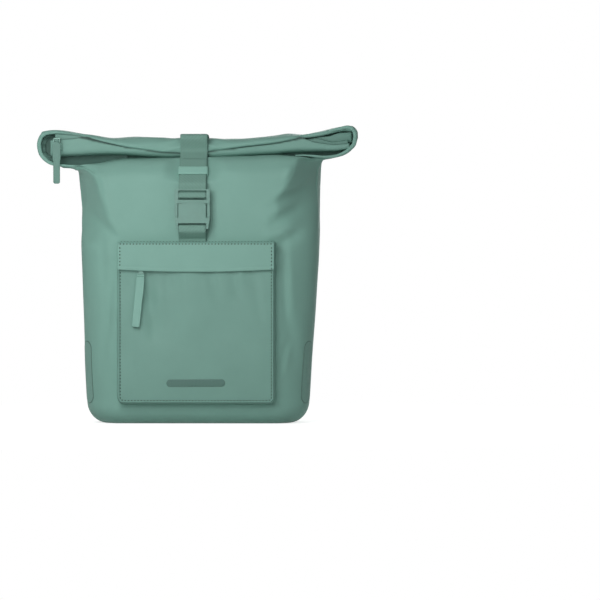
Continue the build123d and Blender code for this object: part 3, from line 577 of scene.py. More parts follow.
# --- the shape of the bag ----------------------------------------------------------------
ROLL = {
    # heights along the roll, from its left end to its right
    "top": (
        (-224, 400), (-218, 406.5), (-200, 408.5), (-171, 405), (-154, 402.6), (-118, 397.4),
        (-86, 399.3), (-28, 397.8), (10, 396.4), (53, 396.4), (106, 400.4), (127, 402.8),
        (142, 402), (166, 406), (200, 412.6), (213, 414), (224, 408),
    ),
    # the front edge of its outer turn
    "lip": (
        (-224, 398), (-204, 403.4), (-176, 400.6), (-157, 397), (-125, 390), (-91, 384),
        (-49, 377.8), (-28, 376.8), (-5, 377), (13, 378.4), (55, 384.4), (106, 390),
        (141, 396.2), (174, 401.2), (206, 408), (224, 404),
    ),
    # its lower band, seen where the outer turn falls short of it
    "band": (
        (-224, 391), (-192, 393), (-176, 394), (-158, 396), (-125, 391.5), (-91, 388),
        (-28, 385), (13, 385), (55, 389), (106, 392.5), (129, 395.8), (141, 396), (152, 392.6),
        (165, 388.6), (193, 385.6), (208, 387), (224, 389),
    ),
    "foot": (
        (-224, 369), (-191, 371.3), (-125, 373.6), (-28, 369.8), (13, 370), (106, 374.4),
        (132, 376.4), (157, 376.6), (190, 378.4), (224, 384),
    ),
    # how far forward it comes
    "front": (
        (-224, -36), (-150, -39), (-90, -36.5), (-32, -31.8), (22, -31.8), (90, -36.5),
        (150, -39), (224, -36),
    ),
}

NECK = (
    # front y, front z, back y, back z, half-width, side z, corner
    (-70.0, 322.0, 70.0, 322.0, 169.1, 322.0, 29.0),
    (-70.0, 333.0, 69.8, 330.0, 169.7, 332.0, 29.0),
    (-69.0, 342.0, 66.5, 337.0, 170.4, 342.5, 28.0),
    (-66.5, 349.0, 59.0, 344.0, 171.0, 351.8, 27.0),
    (-61.5, 355.0, 48.0, 351.0, 171.9, 357.8, 26.0),
    (-54.0, 360.0, 37.0, 357.0, 174.5, 360.8, 25.0),
    (-45.0, 363.5, 27.0, 362.0, 180.0, 362.2, 23.0),
    (-35.0, 365.3, 19.0, 367.0, 188.5, 362.8, 19.0),
    (-25.0, 366.4, 13.8, 372.0, 197.5, 363.8, 15.0),
    (-14.0, 368.0, 11.0, 376.0, 206.5, 367.2, 11.0),
    (-4.0, 371.5, 9.8, 379.5, 214.5, 373.5, 7.0),
    (2.0, 377.5, 9.3, 382.5, 219.5, 382.0, 4.4),
    (4.0, 385.0, 9.2, 385.0, 223.0, 393.0, 2.6),
)

# how far out the front reaches on each side, by height, before the gusset folds back
LEFT_SHOULDER = ((240, 108), (259, 112), (274, 118), (311, 131), (338, 136.5), (347, 141),
                 (353, 147), (356.5, 157), (358, 180))
RIGHT_SHOULDER = ((240, 112), (290, 111), (308, 110), (325, 121), (341, 131.5), (353, 135),
                  (361, 141), (365, 151), (367, 180))
GUSSET_SLOPE = 0.92  # how steeply the gusset folds back, as a share of the half depth

FRONT_FOLDS = (
    ((-146, 288), (-112, 258), 5.5, 2.4), ((106, 300), (152, 326), 6.0, 2.6),
    ((126, 322), (158, 342), 6.0, -2.2), ((108, 276), (146, 302), 8.5, 4.2),
    ((107, 242), (142, 263), 9.0, 4.2), ((128, 150), (137, 80), 9.0, 1.8),
    ((-124, 170), (-131, 90), 7.0, 1.9), ((-117, 216), (-121, 132), 4.5, 1.7),
    ((-132, 250), (-128, 190), 6.0, 1.4), ((119, 236), (123, 150), 5.5, 2.2),
    ((124, 110), (112, 72), 5.0, 1.4), ((-60, 22), (70, 19), 7.0, 0.8),
)
SIDE_FOLDS = (((-34, 300), (2, 226), 7.0, 0.5), ((40, 292), (10, 232), 7.0, 0.5))


def roll(line, x):
    """One of the roll's lines at a place along it."""
    return through(ROLL[line], x)


def half_width(z):
    """How far the body reaches to each side of its middle at a height."""
    return BASE_HALF + WIDENING * z


def sway(z):
    """How far the filled bag leans to its right at half height."""
    return 2.6 * ease(z, 60, 235) * (1 - ease(z, 265, 345))


def section(a, b, corner, front_corner, z, shares):
    """The bag's section at a height. Its front corners are cut back behind the shoulders,
    and so tucked in under the ears."""
    x, y = outline(a, b, corner, np.arange(1440) / 1440, front_corner)
    reach = np.where(x < 0, through(LEFT_SHOULDER, z), through(RIGHT_SHOULDER, z))
    a = np.abs(x).max()
    amount = np.where(x < 0, ease(z, 236, 312), ease(z, 250, 335)) * ease(a - reach, 1.0, 12.0)
    slope = GUSSET_SLOPE * b / np.maximum(a - reach, 4.0)
    over = slope * (np.abs(x) - reach) - b - y
    soft = 3.0
    beyond = (over + np.sqrt(over**2 + soft**2) - 0.35 * soft) / 2
    y = y + amount * np.clip(beyond, 0, None)
    x, y = on_line(np.stack([np.append(x, x[0]), np.append(y, y[0])], 1), shares).T
    return x + sway(z), y


def front_relief(x, z):
    """How far the front stands out from its plane, in millimetres."""
    out = -2.2 * np.clip(np.abs(x) / 120.0, 0, 1.25) ** 3
    out = out + 1.3 * np.sin(np.clip((z - 30) / 310.0, 0, 1) * math.pi)
    out = out + 0.5 * wander(x, z, 95.0)
    edge = np.where(x < 0, -x - through(LEFT_SHOULDER, z), x - through(RIGHT_SHOULDER, z))
    ridge = hump(edge, -7.0, 5.0) * np.where(x < 0, ease(z, 285, 330), ease(z, 318, 345))
    return creased(out + 1.8 * ridge * (1 - ease(z, 352, 362)), x, z, FRONT_FOLDS)


def side_relief(y, z, left):
    """How far a side stands out: a soft gusset that tucks in under the ear."""
    tuck = ease(z, 200, 345) * (1 - ease(z, 352, 364))
    out = 1.4 * hump(y, 0, 46.0) * (1 - ease(z, 220, 300)) - 4.0 * tuck * hump(y, -2, 17.0)
    return creased(out + 0.3 * wander(y, z, 110.0, 1.7 if left else 3.1), y, z, SIDE_FOLDS)


def neck_shape(points, front):
    """Tilts the neck, presses it under the strap and closes its ends like a bowl."""
    x, y, level = points[..., 0], points[..., 1].copy(), points[..., 2]
    aside, rise = np.abs(x), ease(level, 350, 362)
    z = level + np.where(front, 4.0 * rise * (1 - ease(aside, 95, 150)), 0.0)
    y -= 13.0 * ease(aside, 188, 224) * ease(z, 372, 386)
    dip = ease(y, -46, -34) * (1 - ease(y, -16, -6)) * ease(aside, 105, 165)
    z -= np.where(front, 3.0 * dip * rise, 0.0)
    raised = 3.4 * ease(x, 70, 165) * (1 - ease(level, 372, 383))
    z += (TILT * x + raised) * ease(level, 318, 360)
    # the back face of the closing strap, where it slants over the shoulder
    under = -30.6 - (378.0 - z) * 42.9 / 47.5
    near = by_strap(x, STRAP_HALF, STRAP_HALF + 26)
    y = np.where(front & (y < under) & (z > 334), y + (under - y) * near, y)
    return at(x, y, z)


def wrap_line(x):
    """The path of the roll's outer turn at each place: its arc, then its drop at the front."""
    start = 385 + 8 * ease(np.abs(x), 150, 223) + TILT * x
    back = 6.6 - 13.0 * ease(np.abs(x), 188, 224)
    front = roll("front", x) + LAYERS - 0.3
    high = roll("top", x) - LAYERS - start
    lip = roll("lip", x) + 1.5
    turn = math.pi - np.arcsin(np.clip((lip - start) / high, 0.0, 1.0))
    return start, (back + front) / 2, (back - front) / 2, high, turn, np.maximum(start - lip, 0)


def wrap_points(x_flat, y_flat, q):
    """Places the flat sleeve's section on the roll's outer turn at share q of its way."""
    reach = np.where(x_flat < 0, 205.0, 214.0)
    x = x_flat / SLEEVE_HALF * (SLEEVE_HALF + (reach - SLEEVE_HALF) * ease(q, 0.55, 1.0))
    start, middle, half, high, turn, drop = wrap_line(x)
    arc = turn * 0.5 * (half + high)
    way = q * (arc + drop)

    def on_arc(way):
        angle = np.minimum(way, arc) / (0.5 * (half + high))
        fall = np.maximum(way - arc, 0)
        return middle + half * np.cos(angle), start + high * np.sin(angle) - fall

    (y0, z0), (y, z), (y1, z1) = (on_arc(way + step) for step in (-0.4, 0, 0.4))
    size = np.hypot(y1 - y0, z1 - z0) + 1e-9
    ty, tz = (y1 - y0) / size, (z1 - z0) / size
    return x, y + tz * y_flat, z - ty * y_flat, ty, tz


def shell_grid():
    """Every ring of the bag's one skin: base, body, neck and the roll's outer turn."""
    u = np.arange(ROUND_COUNT) / ROUND_COUNT
    f = u + 0.035 * np.sin(4 * math.pi * u)
    front = (f < 0.25) | (f > 0.75)
    rings, kinds = [], []
    for share in (0.04, 0.2, 0.4, 0.6, 0.8, 0.93):
        a, b, r = (v - BASE_ROUND for v in (half_width(0), HALF_DEPTH, FRONT_CORNER))
        rings.append(at(*outline(a * share, b * share, 4.0 * share, f, r * share), 0.0))
        kinds.append("base")
    for k in range(12):
        angle = k / 11 * math.pi / 2
        inset, z = BASE_ROUND * (1 - math.sin(angle)), BASE_ROUND * (1 - math.cos(angle))
        a, b, r = (v - inset for v in (half_width(z), HALF_DEPTH, FRONT_CORNER))
        rings.append(at(*outline(a, b, max(CORNER - inset, 4.0), f, r), z))
        kinds.append("base" if k < 4 else "body")
    for z in np.linspace(BASE_ROUND, BODY_TOP, 84)[1:-1]:
        x, y = section(half_width(z), HALF_DEPTH, CORNER + z / BODY_TOP, FRONT_CORNER, z, f)
        rings.append(at(x, y, z))
        kinds.append("body")
    for y_front, z_front, y_back, z_back, a, z_side, corner in zip(*between_rows(NECK, 4)[1]):
        b = (y_back - y_front) / 2
        x, y = section(a, b, corner, max(min(FRONT_CORNER, 0.86 * b), corner), z_front, f)
        z = np.where(front, z_front, z_back)
        around = 4 * (a + b) - 1.7 * min(corner, b)
        from_side = np.minimum(np.abs(f - 0.25), np.abs(f - 0.75)) * around
        z = z + (z_side - z) * (1 - ease(from_side, 0, 70))
        rings.append(neck_shape(at(x, y + (y_back + y_front) / 2, z), front))
        kinds.append("neck")
    x, y = outline(SLEEVE_HALF, LAYERS, LAYERS, f)
    # the last three rings round off the sleeve's edge
    ways = [(q, 0.0, 1.0) for q in np.linspace(0, 1, 31)[1:]]
    for q, step, thin in (*ways, (1.0, 1.2, 0.86), (1.0, 2.0, 0.6), (1.0, 2.5, 0.25)):
        px, py, pz, ty, tz = wrap_points(x, y * thin, q)
        rings.append(at(px, py + ty * step, pz + tz * step))
        kinds.append("wrap")
    return np.array(rings), np.array(kinds)


def shell_relief(grid, kinds):
    """Moves the skin along its normals: fullness, folds and soft dents."""
    ahead = np.roll(grid, -1, 1) - np.roll(grid, 1, 1)
    normal = np.cross(ahead, np.gradient(grid, axis=0))
    normal /= np.linalg.norm(normal, axis=-1, keepdims=True) + 1e-9
    x, y, z = np.moveaxis(grid, -1, 0)
    facing_front = ease(-normal[..., 1], 0.25, 0.95)
    facing_side = ease(np.abs(normal[..., 0]), 0.35, 0.95)
    facing_back = ease(normal[..., 1], 0.35, 0.95)
    move = facing_front * front_relief(x, z)
    move = move + facing_side * np.where(x < 0, side_relief(y, z, True), side_relief(y, z, False))
    move = move + facing_back * 0.4 * wander(x, z, 80.0, 5.0) * ease(np.abs(x), 120, 150)
    body = ((kinds == "body") | (kinds == "neck"))[:, None]
    move = move * ease(z, 8, 40) * (1 - ease(z, 366, 374)) * body
    # the strap and the buckle hold the front flat
    move = np.where(move > 0, move * (1 - 0.8 * by_strap(x, 24, 46) * facing_front), move)
    # loose waves along the roll, and short ones where the strap pulls it in
    pull = by_strap(x, 22, 50) * (1 - by_strap(x, 17, 21))
    waves = 0.75 * wander(x, 3 * y + 2 * z, 60.0, 2.0) * (1 - by_strap(x, 24, 60))
    waves += 1.1 * pull * np.sin(0.55 * (z - 386) + 0.11 * x * np.sign(x - STRAP_MIDDLE))
    wrap = (kinds == "wrap")[:, None]
    return grid + normal * (move + np.where(wrap, waves, 0.0))[..., None]


def build_shell():
    """The bag's skin as one closed mesh."""
    grid = shell_relief(*shell_grid())
    rows, n = grid.shape[:2]
    points = np.concatenate([grid.reshape(-1, 3), [grid[0].mean(0)]])
    faces = grid_faces(rows, n, closed=True)
    faces += [((i + 1) % n, i, rows * n) for i in range(n)]
    last = (rows - 1) * n
    for k in range(-n // 4, n // 4):
        across = (k % n, (k + 1) % n, (n // 2 - k - 1) % n, (n // 2 - k) % n)
        faces.append(tuple(last + i for i in across))
    return make_piece("bag_skin", points, faces, closed=True)


def front_at(x, z):
    """The y of the bag's front at a place, for what is sewn to it."""
    out = front_relief(x, z)
    out = np.where(out > 0, out * (1 - 0.8 * by_strap(x, 24, 46)), out)
    return -HALF_DEPTH - out * ease(z, 8, 40)


def room_under_turn(x, y):
    """The height left under the roll's outer turn at a place. It opens up ahead of its edge."""
    start, middle, half, high, turn, _ = wrap_line(x)
    edge = middle + half * np.cos(turn)
    roof = start + high * np.sqrt(1 - np.clip((y - middle) / half, -1, 1) ** 2) - LAYERS
    ahead = np.maximum(edge - LAYERS - y, 0)
    return roof + 5.0 * ahead * (1 - ease(turn, math.radians(140), math.radians(158)))


# --- the layers of the roll --------------------------------------------------------------
def fold_layer(name, left, right, depth, top, tuck=0.0, thick=2.1, count=110, lifted=0.0):
    """A turn of cloth inside the roll: down its back, under it and up its front. Its own
    map's Y says where it lies in the fold under the lip, where the material paints shade."""
    rings, folds = [], []
    for x in np.linspace(left, right, count):
        low, high, lip = roll("foot", x) + thick + lifted, through(top, x), roll("lip", x)
        front = roll("front", x) + thick + depth
        room, reach = thick + 1.5, 1.1 * thick + 1.2 + tuck
        ceiling = min(room_under_turn(x, front + part * reach) for part in (0, 0.3, 0.6, 1)) - room
        high = min(high, max(ceiling, lip + 0.6) if tuck else ceiling)
        back = min(1.0 - depth * 0.5, 2.0) - 12.0 * ease(abs(x), 176, 215)
        under = room_under_turn(x, back) - room
        half, middle = (back - front) / 2, (back + front) / 2
        level = max(min(low + 7.5, under - 2.0, high - 2.0), low + 1.5)
        tail = max(min(level + 9, under), level + 1)
        line = [(back, z) for z in np.linspace(tail, level, 5)[:-1]]
        for angle in np.linspace(0, math.pi, 25):
            across, down = math.cos(angle), math.sin(angle) ** 0.6
            across = math.copysign(abs(across) ** 0.6, across)
            line.append((middle + half * across, level - (level - low) * down))
        for z in np.linspace(level, max(high, level + 2), 13)[1:]:
            inward = tuck * ease(z, lip - 4.0, lip + 0.3) if high > lip else 0.0
            line.append((front + inward + 1.2 * ease(z, level, level + 20), z))
        line = np.array(line)
        ahead, side = directions(line)
        swell = thick * (1 + 0.12 * math.sin(0.07 * x))
        ends = [line[-1:] + ahead[-1:] * swell * 0.9, line[:1] - ahead[:1] * swell * 0.9]
        loop = np.concatenate(
            [line - side * swell, ends[0], (line + side * swell)[::-1], ends[1]])
        rings.append(at(x, loop[:, 0], loop[:, 1]))
        # 1 where the cloth tucks under the lip, which the material darkens as painted shade
        shade = ease(loop[:, 1], lip - 3.4, lip - 1.6)
        folds.append(np.stack([np.linspace(0, 1, len(loop)), shade], 1))
    grid = np.array(rings)
    wave = 0.55 * wander(grid[..., 0], grid[..., 2] * 3, 55.0, depth)
    grid[..., 1] += wave * (1 - by_strap(grid[..., 0], 30, 70))
    n = grid.shape[1]
    faces = grid_faces(count, n, closed=True)
    cap = [(k, k + 1, n - 3 - k, n - 2 - k) for k in range(n // 2 - 1)] + [(0, n - 1, n - 2)]
    last = (count - 1) * n
    faces += [face[::-1] for face in cap] + [tuple(last + i for i in face) for face in cap]
    return make_piece(name, grid, faces, uv=np.array(folds), closed=True)


LEFT_END = (
    # x, z, y of the rim's front, half thickness
    (-176, 402.4, -26.0, 1.6), (-196, 404.6, -31.0, 2.2), (-210, 403.6, -33.5, 2.7),
    (-218.6, 397.4, -34.5, 3.0), (-221.2, 387.5, -34.5, 3.1), (-219.4, 376.5, -34.5, 3.0),
    (-212.5, 367.0, -35.0, 2.8), (-203, 361.0, -36.0, 2.4), (-190, 358.4, -36.0, 1.9),
    (-176, 357.6, -34.0, 1.4), (-166, 357.4, -32.0, 1.2),
)
RIGHT_END = (
    (176, 404.0, -27.0, 1.6), (196, 409.2, -31.0, 2.2), (208, 411.2, -33.5, 2.6),
    (216.0, 408.0, -34.5, 2.9), (219.0, 399.5, -34.5, 3.0), (217.6, 389.0, -34.5, 3.0),
    (211.6, 381.2, -35.0, 2.8), (202, 374.9, -36.0, 2.4), (190, 370.9, -36.0, 1.9),
    (176, 370.0, -38.0, 1.6), (162, 371.0, -42.0, 1.4), (148, 371.8, -43.0, 1.1),
    (136, 371.6, -42.0, 0.7),
)


def end_cup(name, path):
    """The sleeve's end, folded round from the roll's top to its underside like a cup."""
    steps, (x, z, front, half) = between_rows(path, 9)
    line = np.stack([x, z], 1)
    turn = np.linspace(math.pi / 2, 3 * math.pi / 2, 13)
    rings = []
    for (px, pz), (sx, sz), y_front, t, way in zip(line, directions(line)[1], front, half, steps):
        across = t * np.append(np.sin(turn), [-0.8, -0.5, 0.5, 0.8])
        back = -15.0 + 8.0 * ease(way, 1.5, 4.0)
        inner = (y_front + back) / 2
        deep = np.append(y_front + t + t * np.cos(turn), [inner, back, back, inner])
        wave = 0.5 * math.sin(1.9 * way) + 0.3 * math.sin(3.7 * way + 1)
        rings.append(at(px + sx * across, deep + wave, pz + sz * across))
    return ring_piece(name, rings)


def lining(name, left, right):
    """A dark sheet inside the sleeve, seen in the open ends and under the band: painted shade for
    those hollows.
    """
    rows = []
    even = np.linspace(0, 1, 34)
    for x in np.linspace(left, right, 60):
        low, top = roll("foot", x), roll("top", x)
        drop = 12.5 if x < 0 else 7.5
        path = ((-18.0, top - 9.5), (-14.0, top - 11.0), (-12.5, low + 4.0), (-13.0, low - 2.0),
                (-16.0, low - 0.6 * drop), (-22.0, low - drop))
        line, _ = rounded_path(path, 4.0, 2.0)
        run = np.linspace(0, 1, len(line))
        y, z = (np.interp(even, run, column) for column in line.T)
        fold = 1.2 * np.sin(0.21 * x + 4.0 * even) * ease(even, 0.1, 0.4)
        inward = 1 - 0.055 * (1 - ease(z, low - 2, low + 9)) - 0.02 * ease(z, top - 18, top - 8)
        rows.append(at(x * inward, y + 0.4 * fold, z))
    made = make_piece(name, np.array(rows), grid_faces(60, 34))
    thicken(made, 0.8, offset=0.0)
    return made


# --- webbing -----------------------------------------------------------------------------
def rounded_path(points, radius=3.0, step=1.5):
    """The points joined by straight runs with rounded bends, and the way along them."""
    points = np.array(points, float)
    line = [points[0]]
    for before, here, after in zip(points, points[1:], points[2:]):
        a, b = before - here, after - here
        la, lb = np.linalg.norm(a), np.linalg.norm(b)
        cut = min(radius, 0.45 * la, 0.45 * lb)
        start, end = here + a / la * cut, here + b / lb * cut
        for t in np.linspace(0, 1, 7):
            line.append((1 - t) ** 2 * start + 2 * t * (1 - t) * here + t * t * end)
    line = np.array([*line, points[-1]])
    line = line[np.append(True, np.diff(run_of(line)) > 1e-4)]
    length = run_of(line)[-1]
    shares = np.linspace(0, 1, max(3, int(length / step)))
    return on_line(line, shares), shares * length


def webbing_piece(name, points, radius=3.0):
    """A band of webbing along (y, z) points, as a closed strip with rounded edges."""
    line, run = rounded_path(points, radius)
    across = np.linspace(-1, 1, 21)
    across = np.sign(across) * np.abs(across) ** 0.85 * STRAP_HALF
    crown = WEB_THICK / 2 * np.sqrt(np.clip(1 - (np.abs(across) / STRAP_HALF) ** 14, 0.05, 1))
    u, off = np.append(across, across[::-1]), np.append(crown, -crown[::-1])
    rings, uv = [], []
    for (y, z), (sy, sz), way in zip(line, directions(line)[1], run):
        rings.append(at(STRAP_MIDDLE + u, y + sy * off, z + sz * off))
        uv.append(np.stack([u + STRAP_HALF, np.full(len(u), way)], 1))
    return ring_piece(name, rings, uv=np.array(uv))


# --- properties --------------------------------------------------------------------------
def number_value(name, text, default, low, high, **kind):
    return FloatProperty(name=name, description=text, default=default, min=low, max=high, **kind)


def length_value(*values):
    return number_value(*values, unit="LENGTH")


def power_value(name, text, default):
    return number_value(name, text, default, 0.0, 1000.0, unit="POWER")


def colour_value(name, text, *rgb):
    return FloatVectorProperty(name=name, description=text, subtype="COLOR", size=4, min=0, max=1,
                               default=(*rgb, 1))


class PannierSizes(bpy.types.PropertyGroup):
    """Sizes of the finish that can be changed before the pieces are built."""

    weave_pitch: length_value(
        "Weave pitch", "Distance between yarns under the coating", 0.0009, 0.0003, 0.004)
    stitch_pitch: length_value(
        "Stitch pitch", "Distance from one stitch to the next", 0.0044, 0.001, 0.01)
    stitch_length: length_value(
        "Stitch length", "Length of one stitch on the surface", 0.0024, 0.0005, 0.01)
    tooth_pitch: length_value(
        "Tooth pitch", "Distance between two teeth of a zip", 0.0019, 0.001, 0.01)
    pocket_fullness: length_value(
        "Pocket fullness", "How far the pocket's lower half swells", 0.0022, 0.0, 0.004)


class PannierColours(bpy.types.PropertyGroup):
    """Colours of the bag's cloth, straps and fittings."""

    cloth: colour_value("Cloth", "Coated cloth of the body, roll and pocket", 0.206, 0.392, 0.331)
    webbing: colour_value("Webbing", "Closing strap and sewn webbing", 0.182, 0.333, 0.280)
    buckle: colour_value("Buckle", "Side-release buckle", 0.151, 0.292, 0.246)
    reflector: colour_value("Reflector", "Tone-on-tone reflective trims", 0.093, 0.187, 0.158)
    rack_plastic: colour_value(
        "Rack fittings", "Black plastic of the rails and hooks", 0.021, 0.022, 0.024)
    steel: colour_value("Steel", "Screws, pins and springs", 0.52, 0.53, 0.55)


class PannierStage(bpy.types.PropertyGroup):
    """Camera and light of the plain studio."""

    camera_distance: length_value("Camera distance", "From the bag to the camera", 4.0, 0.5, 20.0)
    camera_turn: number_value("Camera turn", "How far the camera stands to the right",
                              math.radians(2.7), -math.pi, math.pi, subtype="ANGLE")
    key_power: power_value("Key light", "Power of the large lamp at the upper left", 5.0)
    fill_power: power_value("Fill light", "Power of the soft lamp at the right", 2.1)
    back_power: power_value("Back light", "Power of the lamp behind the bag", 24.0)
    room_light: number_value("Room light", "Strength of the even light from all round",
                             0.18, 0.0, 1.0, subtype="FACTOR")


# --- operators ---------------------------------------------------------------------------
class PANNIER_OT_skin(bpy.types.Operator):
    """Builds the bag's one-piece skin from its base to the roll's outer turn"""

    bl_idname = "pannier.skin"
    bl_label = "Bag skin"

    def execute(self, context):
        skin = finish_piece(
            build_shell(), "bag cloth", "fabric", None, "front_panel", "back_panel",
            "left_side_panel", "right_side_panel", "base_panel", "neck_sleeve", "roll_top",
        )
        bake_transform(skin)
        return {"FINISHED"}


INNER_TURNS = (
    # name, left, right, depth behind the roll's front, top edge, foot above the roll's, points
    ("roll_inner_left", -199, -114, 6.2,
     ((-200, 401.5), (-176, 399.5), (-157, 397), (-114, 388)), 6.0, 40),
    ("roll_inner_right", 110, 209, 9.0,
     ((110, 391), (140, 397), (158, 396), (175, 392.6), (190, 389), (209, 391)), 6.0, 50),
    ("roll_core_right", 120, 214, 15.0,
     ((120, 392), (150, 398), (180, 398), (198, 403), (214, 404)), 8.0, 50),
)


class PANNIER_OT_roll_layers(bpy.types.Operator):
    """Builds the inner turns of the roll, seen along its front and at its open ends"""

    bl_idname = "pannier.roll_layers"
    bl_label = "Roll layers"

    def execute(self, context):
        band = fold_layer("roll_band", -205, 211, 1.9, ROLL["band"], tuck=7.5, count=150)
        finish_piece(band, "rolled cloth", "fabric", "roll", "mouth_stiffener")
        for name, path in (("roll_end_left", LEFT_END), ("roll_end_right", RIGHT_END)):
            finish_piece(end_cup(name, path), "bag cloth", "fabric", "roll")
        # dark sheets that paint the shade in the roll's open ends and under its band
        for name, left, right in (("lining_left", -214, -104), ("lining_right", 108, 212)):
            finish_piece(lining(name, left, right), "inner cloth", "fabric", "roll")
        for *place, lifted, count in INNER_TURNS:
            made = fold_layer(*place, thick=1.8, lifted=lifted, count=count)
            finish_piece(made, "folded cloth", "fabric", "roll")
        return {"FINISHED"}


POCKET_FOLDS = (
    ((-67, 214), (-62, 168), 8.0, 2.6), ((-67, 182), (-58, 126), 9.0, 3.4),
    ((-50, 206), (-42, 124), 20.0, 4.0), ((-30, 214), (-22, 186), 5.0, 0.9),
    ((14, 214), (30, 172), 7.0, 1.3), ((48, 213), (58, 176), 6.0, 1.1),
    ((78, 212), (88, 150), 7.0, 1.1), ((-96, 120), (-84, 60), 7.0, 0.7),
)
POCKET_EDGE = (
    # inset from the outline, y of the cloth there
    (-2.4, -68.6), (-1.9, -71.0), (-1.2, -75.0), (-0.6, -79.0), (-0.2, -82.4), (0.1, -84.0),
    (0.5, -84.9), (1.0, -85.4), (1.6, -85.4), (2.1, -85.0), (2.5, -84.2), (3.0, -83.75),
    (3.6, -83.85), (4.8, -84.0),
)


def pocket_relief(x, z):
    """How far the pocket's front stands out from its plane."""
    full = bpy.context.scene.pannier_sizes.pocket_fullness / MM
    swell = np.clip(1 - ((z - 84) / 58) ** 2, 0, 1) ** 2 * np.clip(1 - (x / 104) ** 4, 0, 1)
    gather = np.exp(-np.clip(POCKET_MOUTH - z, 0, None) / 16.0) * np.clip(1 - (x / 104) ** 6, 0, 1)
    waves = 1.2 + np.sin(0.27 * x + 0.9) + 0.7 * np.sin(0.41 * x - 0.05 * z + 2.2)
    out = full * swell - 0.8 * gather * waves + 0.25 * wander(x, z, 48.0, 0.6)
    return creased(out, x, z, POCKET_FOLDS)


def pocket_outline(inset, count=300):
    """The x and z of the pocket's outline, in from its edge and open at the top."""
    half, corner = POCKET_HALF - inset, max(7.0 - inset, 0.6)
    low, high = POCKET_FOOT + inset, POCKET_TOP - 0.4
    turn = np.linspace(0, math.pi / 2, 9)
    x = half - corner + corner * np.cos(turn)
    z = low + corner - corner * np.sin(turn)
    left, right = np.stack([-x, z], 1), np.stack([x, z], 1)[::-1]
    line = np.concatenate([[[-half, high]], left, right, [[half, high]]])
    return on_line(line, np.linspace(0, 1, count)).T


class PANNIER_OT_pocket(bpy.types.Operator):
    """Builds the front pocket with its pinched edge, and the flap over its mouth"""

    bl_idname = "pannier.pocket"
    bl_label = "Front pocket and flap"

    def execute(self, context):
        finish_piece(self.panel(), "pocket cloth", "fabric", "bag", "pocket_panel")
        flap = finish_piece(self.flap(), "bag cloth", "fabric", None, "flap_seam", "pocket_flap")
        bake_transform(flap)
        return {"FINISHED"}

    def panel(self):
        """The pocket's wall and front as one sheet, open at its mouth."""
        outlines = ((*pocket_outline(inset), y) for inset, y in POCKET_EDGE)
        rings = [at(x, y, z) for x, z, y in outlines]
        # the wall starts on the bag's own front
        rings[0][:, 1] = front_at(rings[0][:, 0], rings[0][:, 2]) + 1.0
        edge_x, _, edge_z = rings[-1].T
        middle = np.clip(edge_x, -4, 4)
        for share in np.linspace(0, 1, 44)[1:]:
            z = edge_z + np.clip(POCKET_TOP - 0.4 - edge_z, 0, None) * share
            rings.append(at(edge_x + (middle - edge_x) * share, POCKET_FRONT, z))
        grid = np.array(rings)
        x, z = grid[..., 0], grid[..., 2]
        relief = pocket_relief(x, z)
        relief *= ease(np.minimum(POCKET_HALF - np.abs(x), z - POCKET_FOOT), 5, 18)
        grid[len(POCKET_EDGE) - 1 :, :, 1] -= relief[len(POCKET_EDGE) - 1 :]
        points = grid.reshape(-1, 3)
        faces = []
        for face in grid_faces(*grid.shape[:2]):
            x, y, z = points[list(face)].mean(0)
            if not (z > POCKET_MOUTH and abs(x) < POCKET_HALF - 4.2 and y < -80):
                faces.append(face)
        panel = make_piece("pocket_bag", points, faces)
        thicken(panel, 1.3, edge=0.35)
        return panel

    def flap(self):
        """The flap as one sheet: sewn to the bag, over the pocket's top and down its mouth."""
        path, _ = rounded_path(
            ((-69.3, 250.9), (-71.5, 251.5), (-82.5, 251.4), (-88.6, 249.0), (-89.0, 244.5),
             (-89.0, FLAP_FOOT)), 3.2, 1.3,
        )
        across = np.linspace(-1, 1, 109) * FLAP_HALF
        sag = 3.0 * (1 - (across / POCKET_HALF) ** 2) - 0.6
        ripple = 0.45 * np.sin(0.105 * across + 0.8) + 0.3 * np.sin(0.23 * across - 1.1)
        side = FLAP_HALF - np.abs(across)
        pressed = 0.35 * hump(side, 3.3, 0.8) - 0.5 * hump(side, 1.3, 1.0)
        rows = []
        for y, z in path:
            hang = 0.0
            if y < -88:
                hang = ease(244.5 - z, 0, 32)
                hem = 0.35 * hump(z, FLAP_FOOT + 5.0, 0.8) - 0.55 * hump(z, FLAP_FOOT + 2.2, 1.6)
                y = y + pressed + hem
            rows.append(at(across, y - hang * (0.35 * ripple + 0.15), z - hang * sag))
        faces = [face[::-1] for face in grid_faces(len(rows), len(across))]
        flap = make_piece("pocket_flap_cloth", np.array(rows), faces)
        thicken(flap, 1.4, edge=0.35)
        return flap


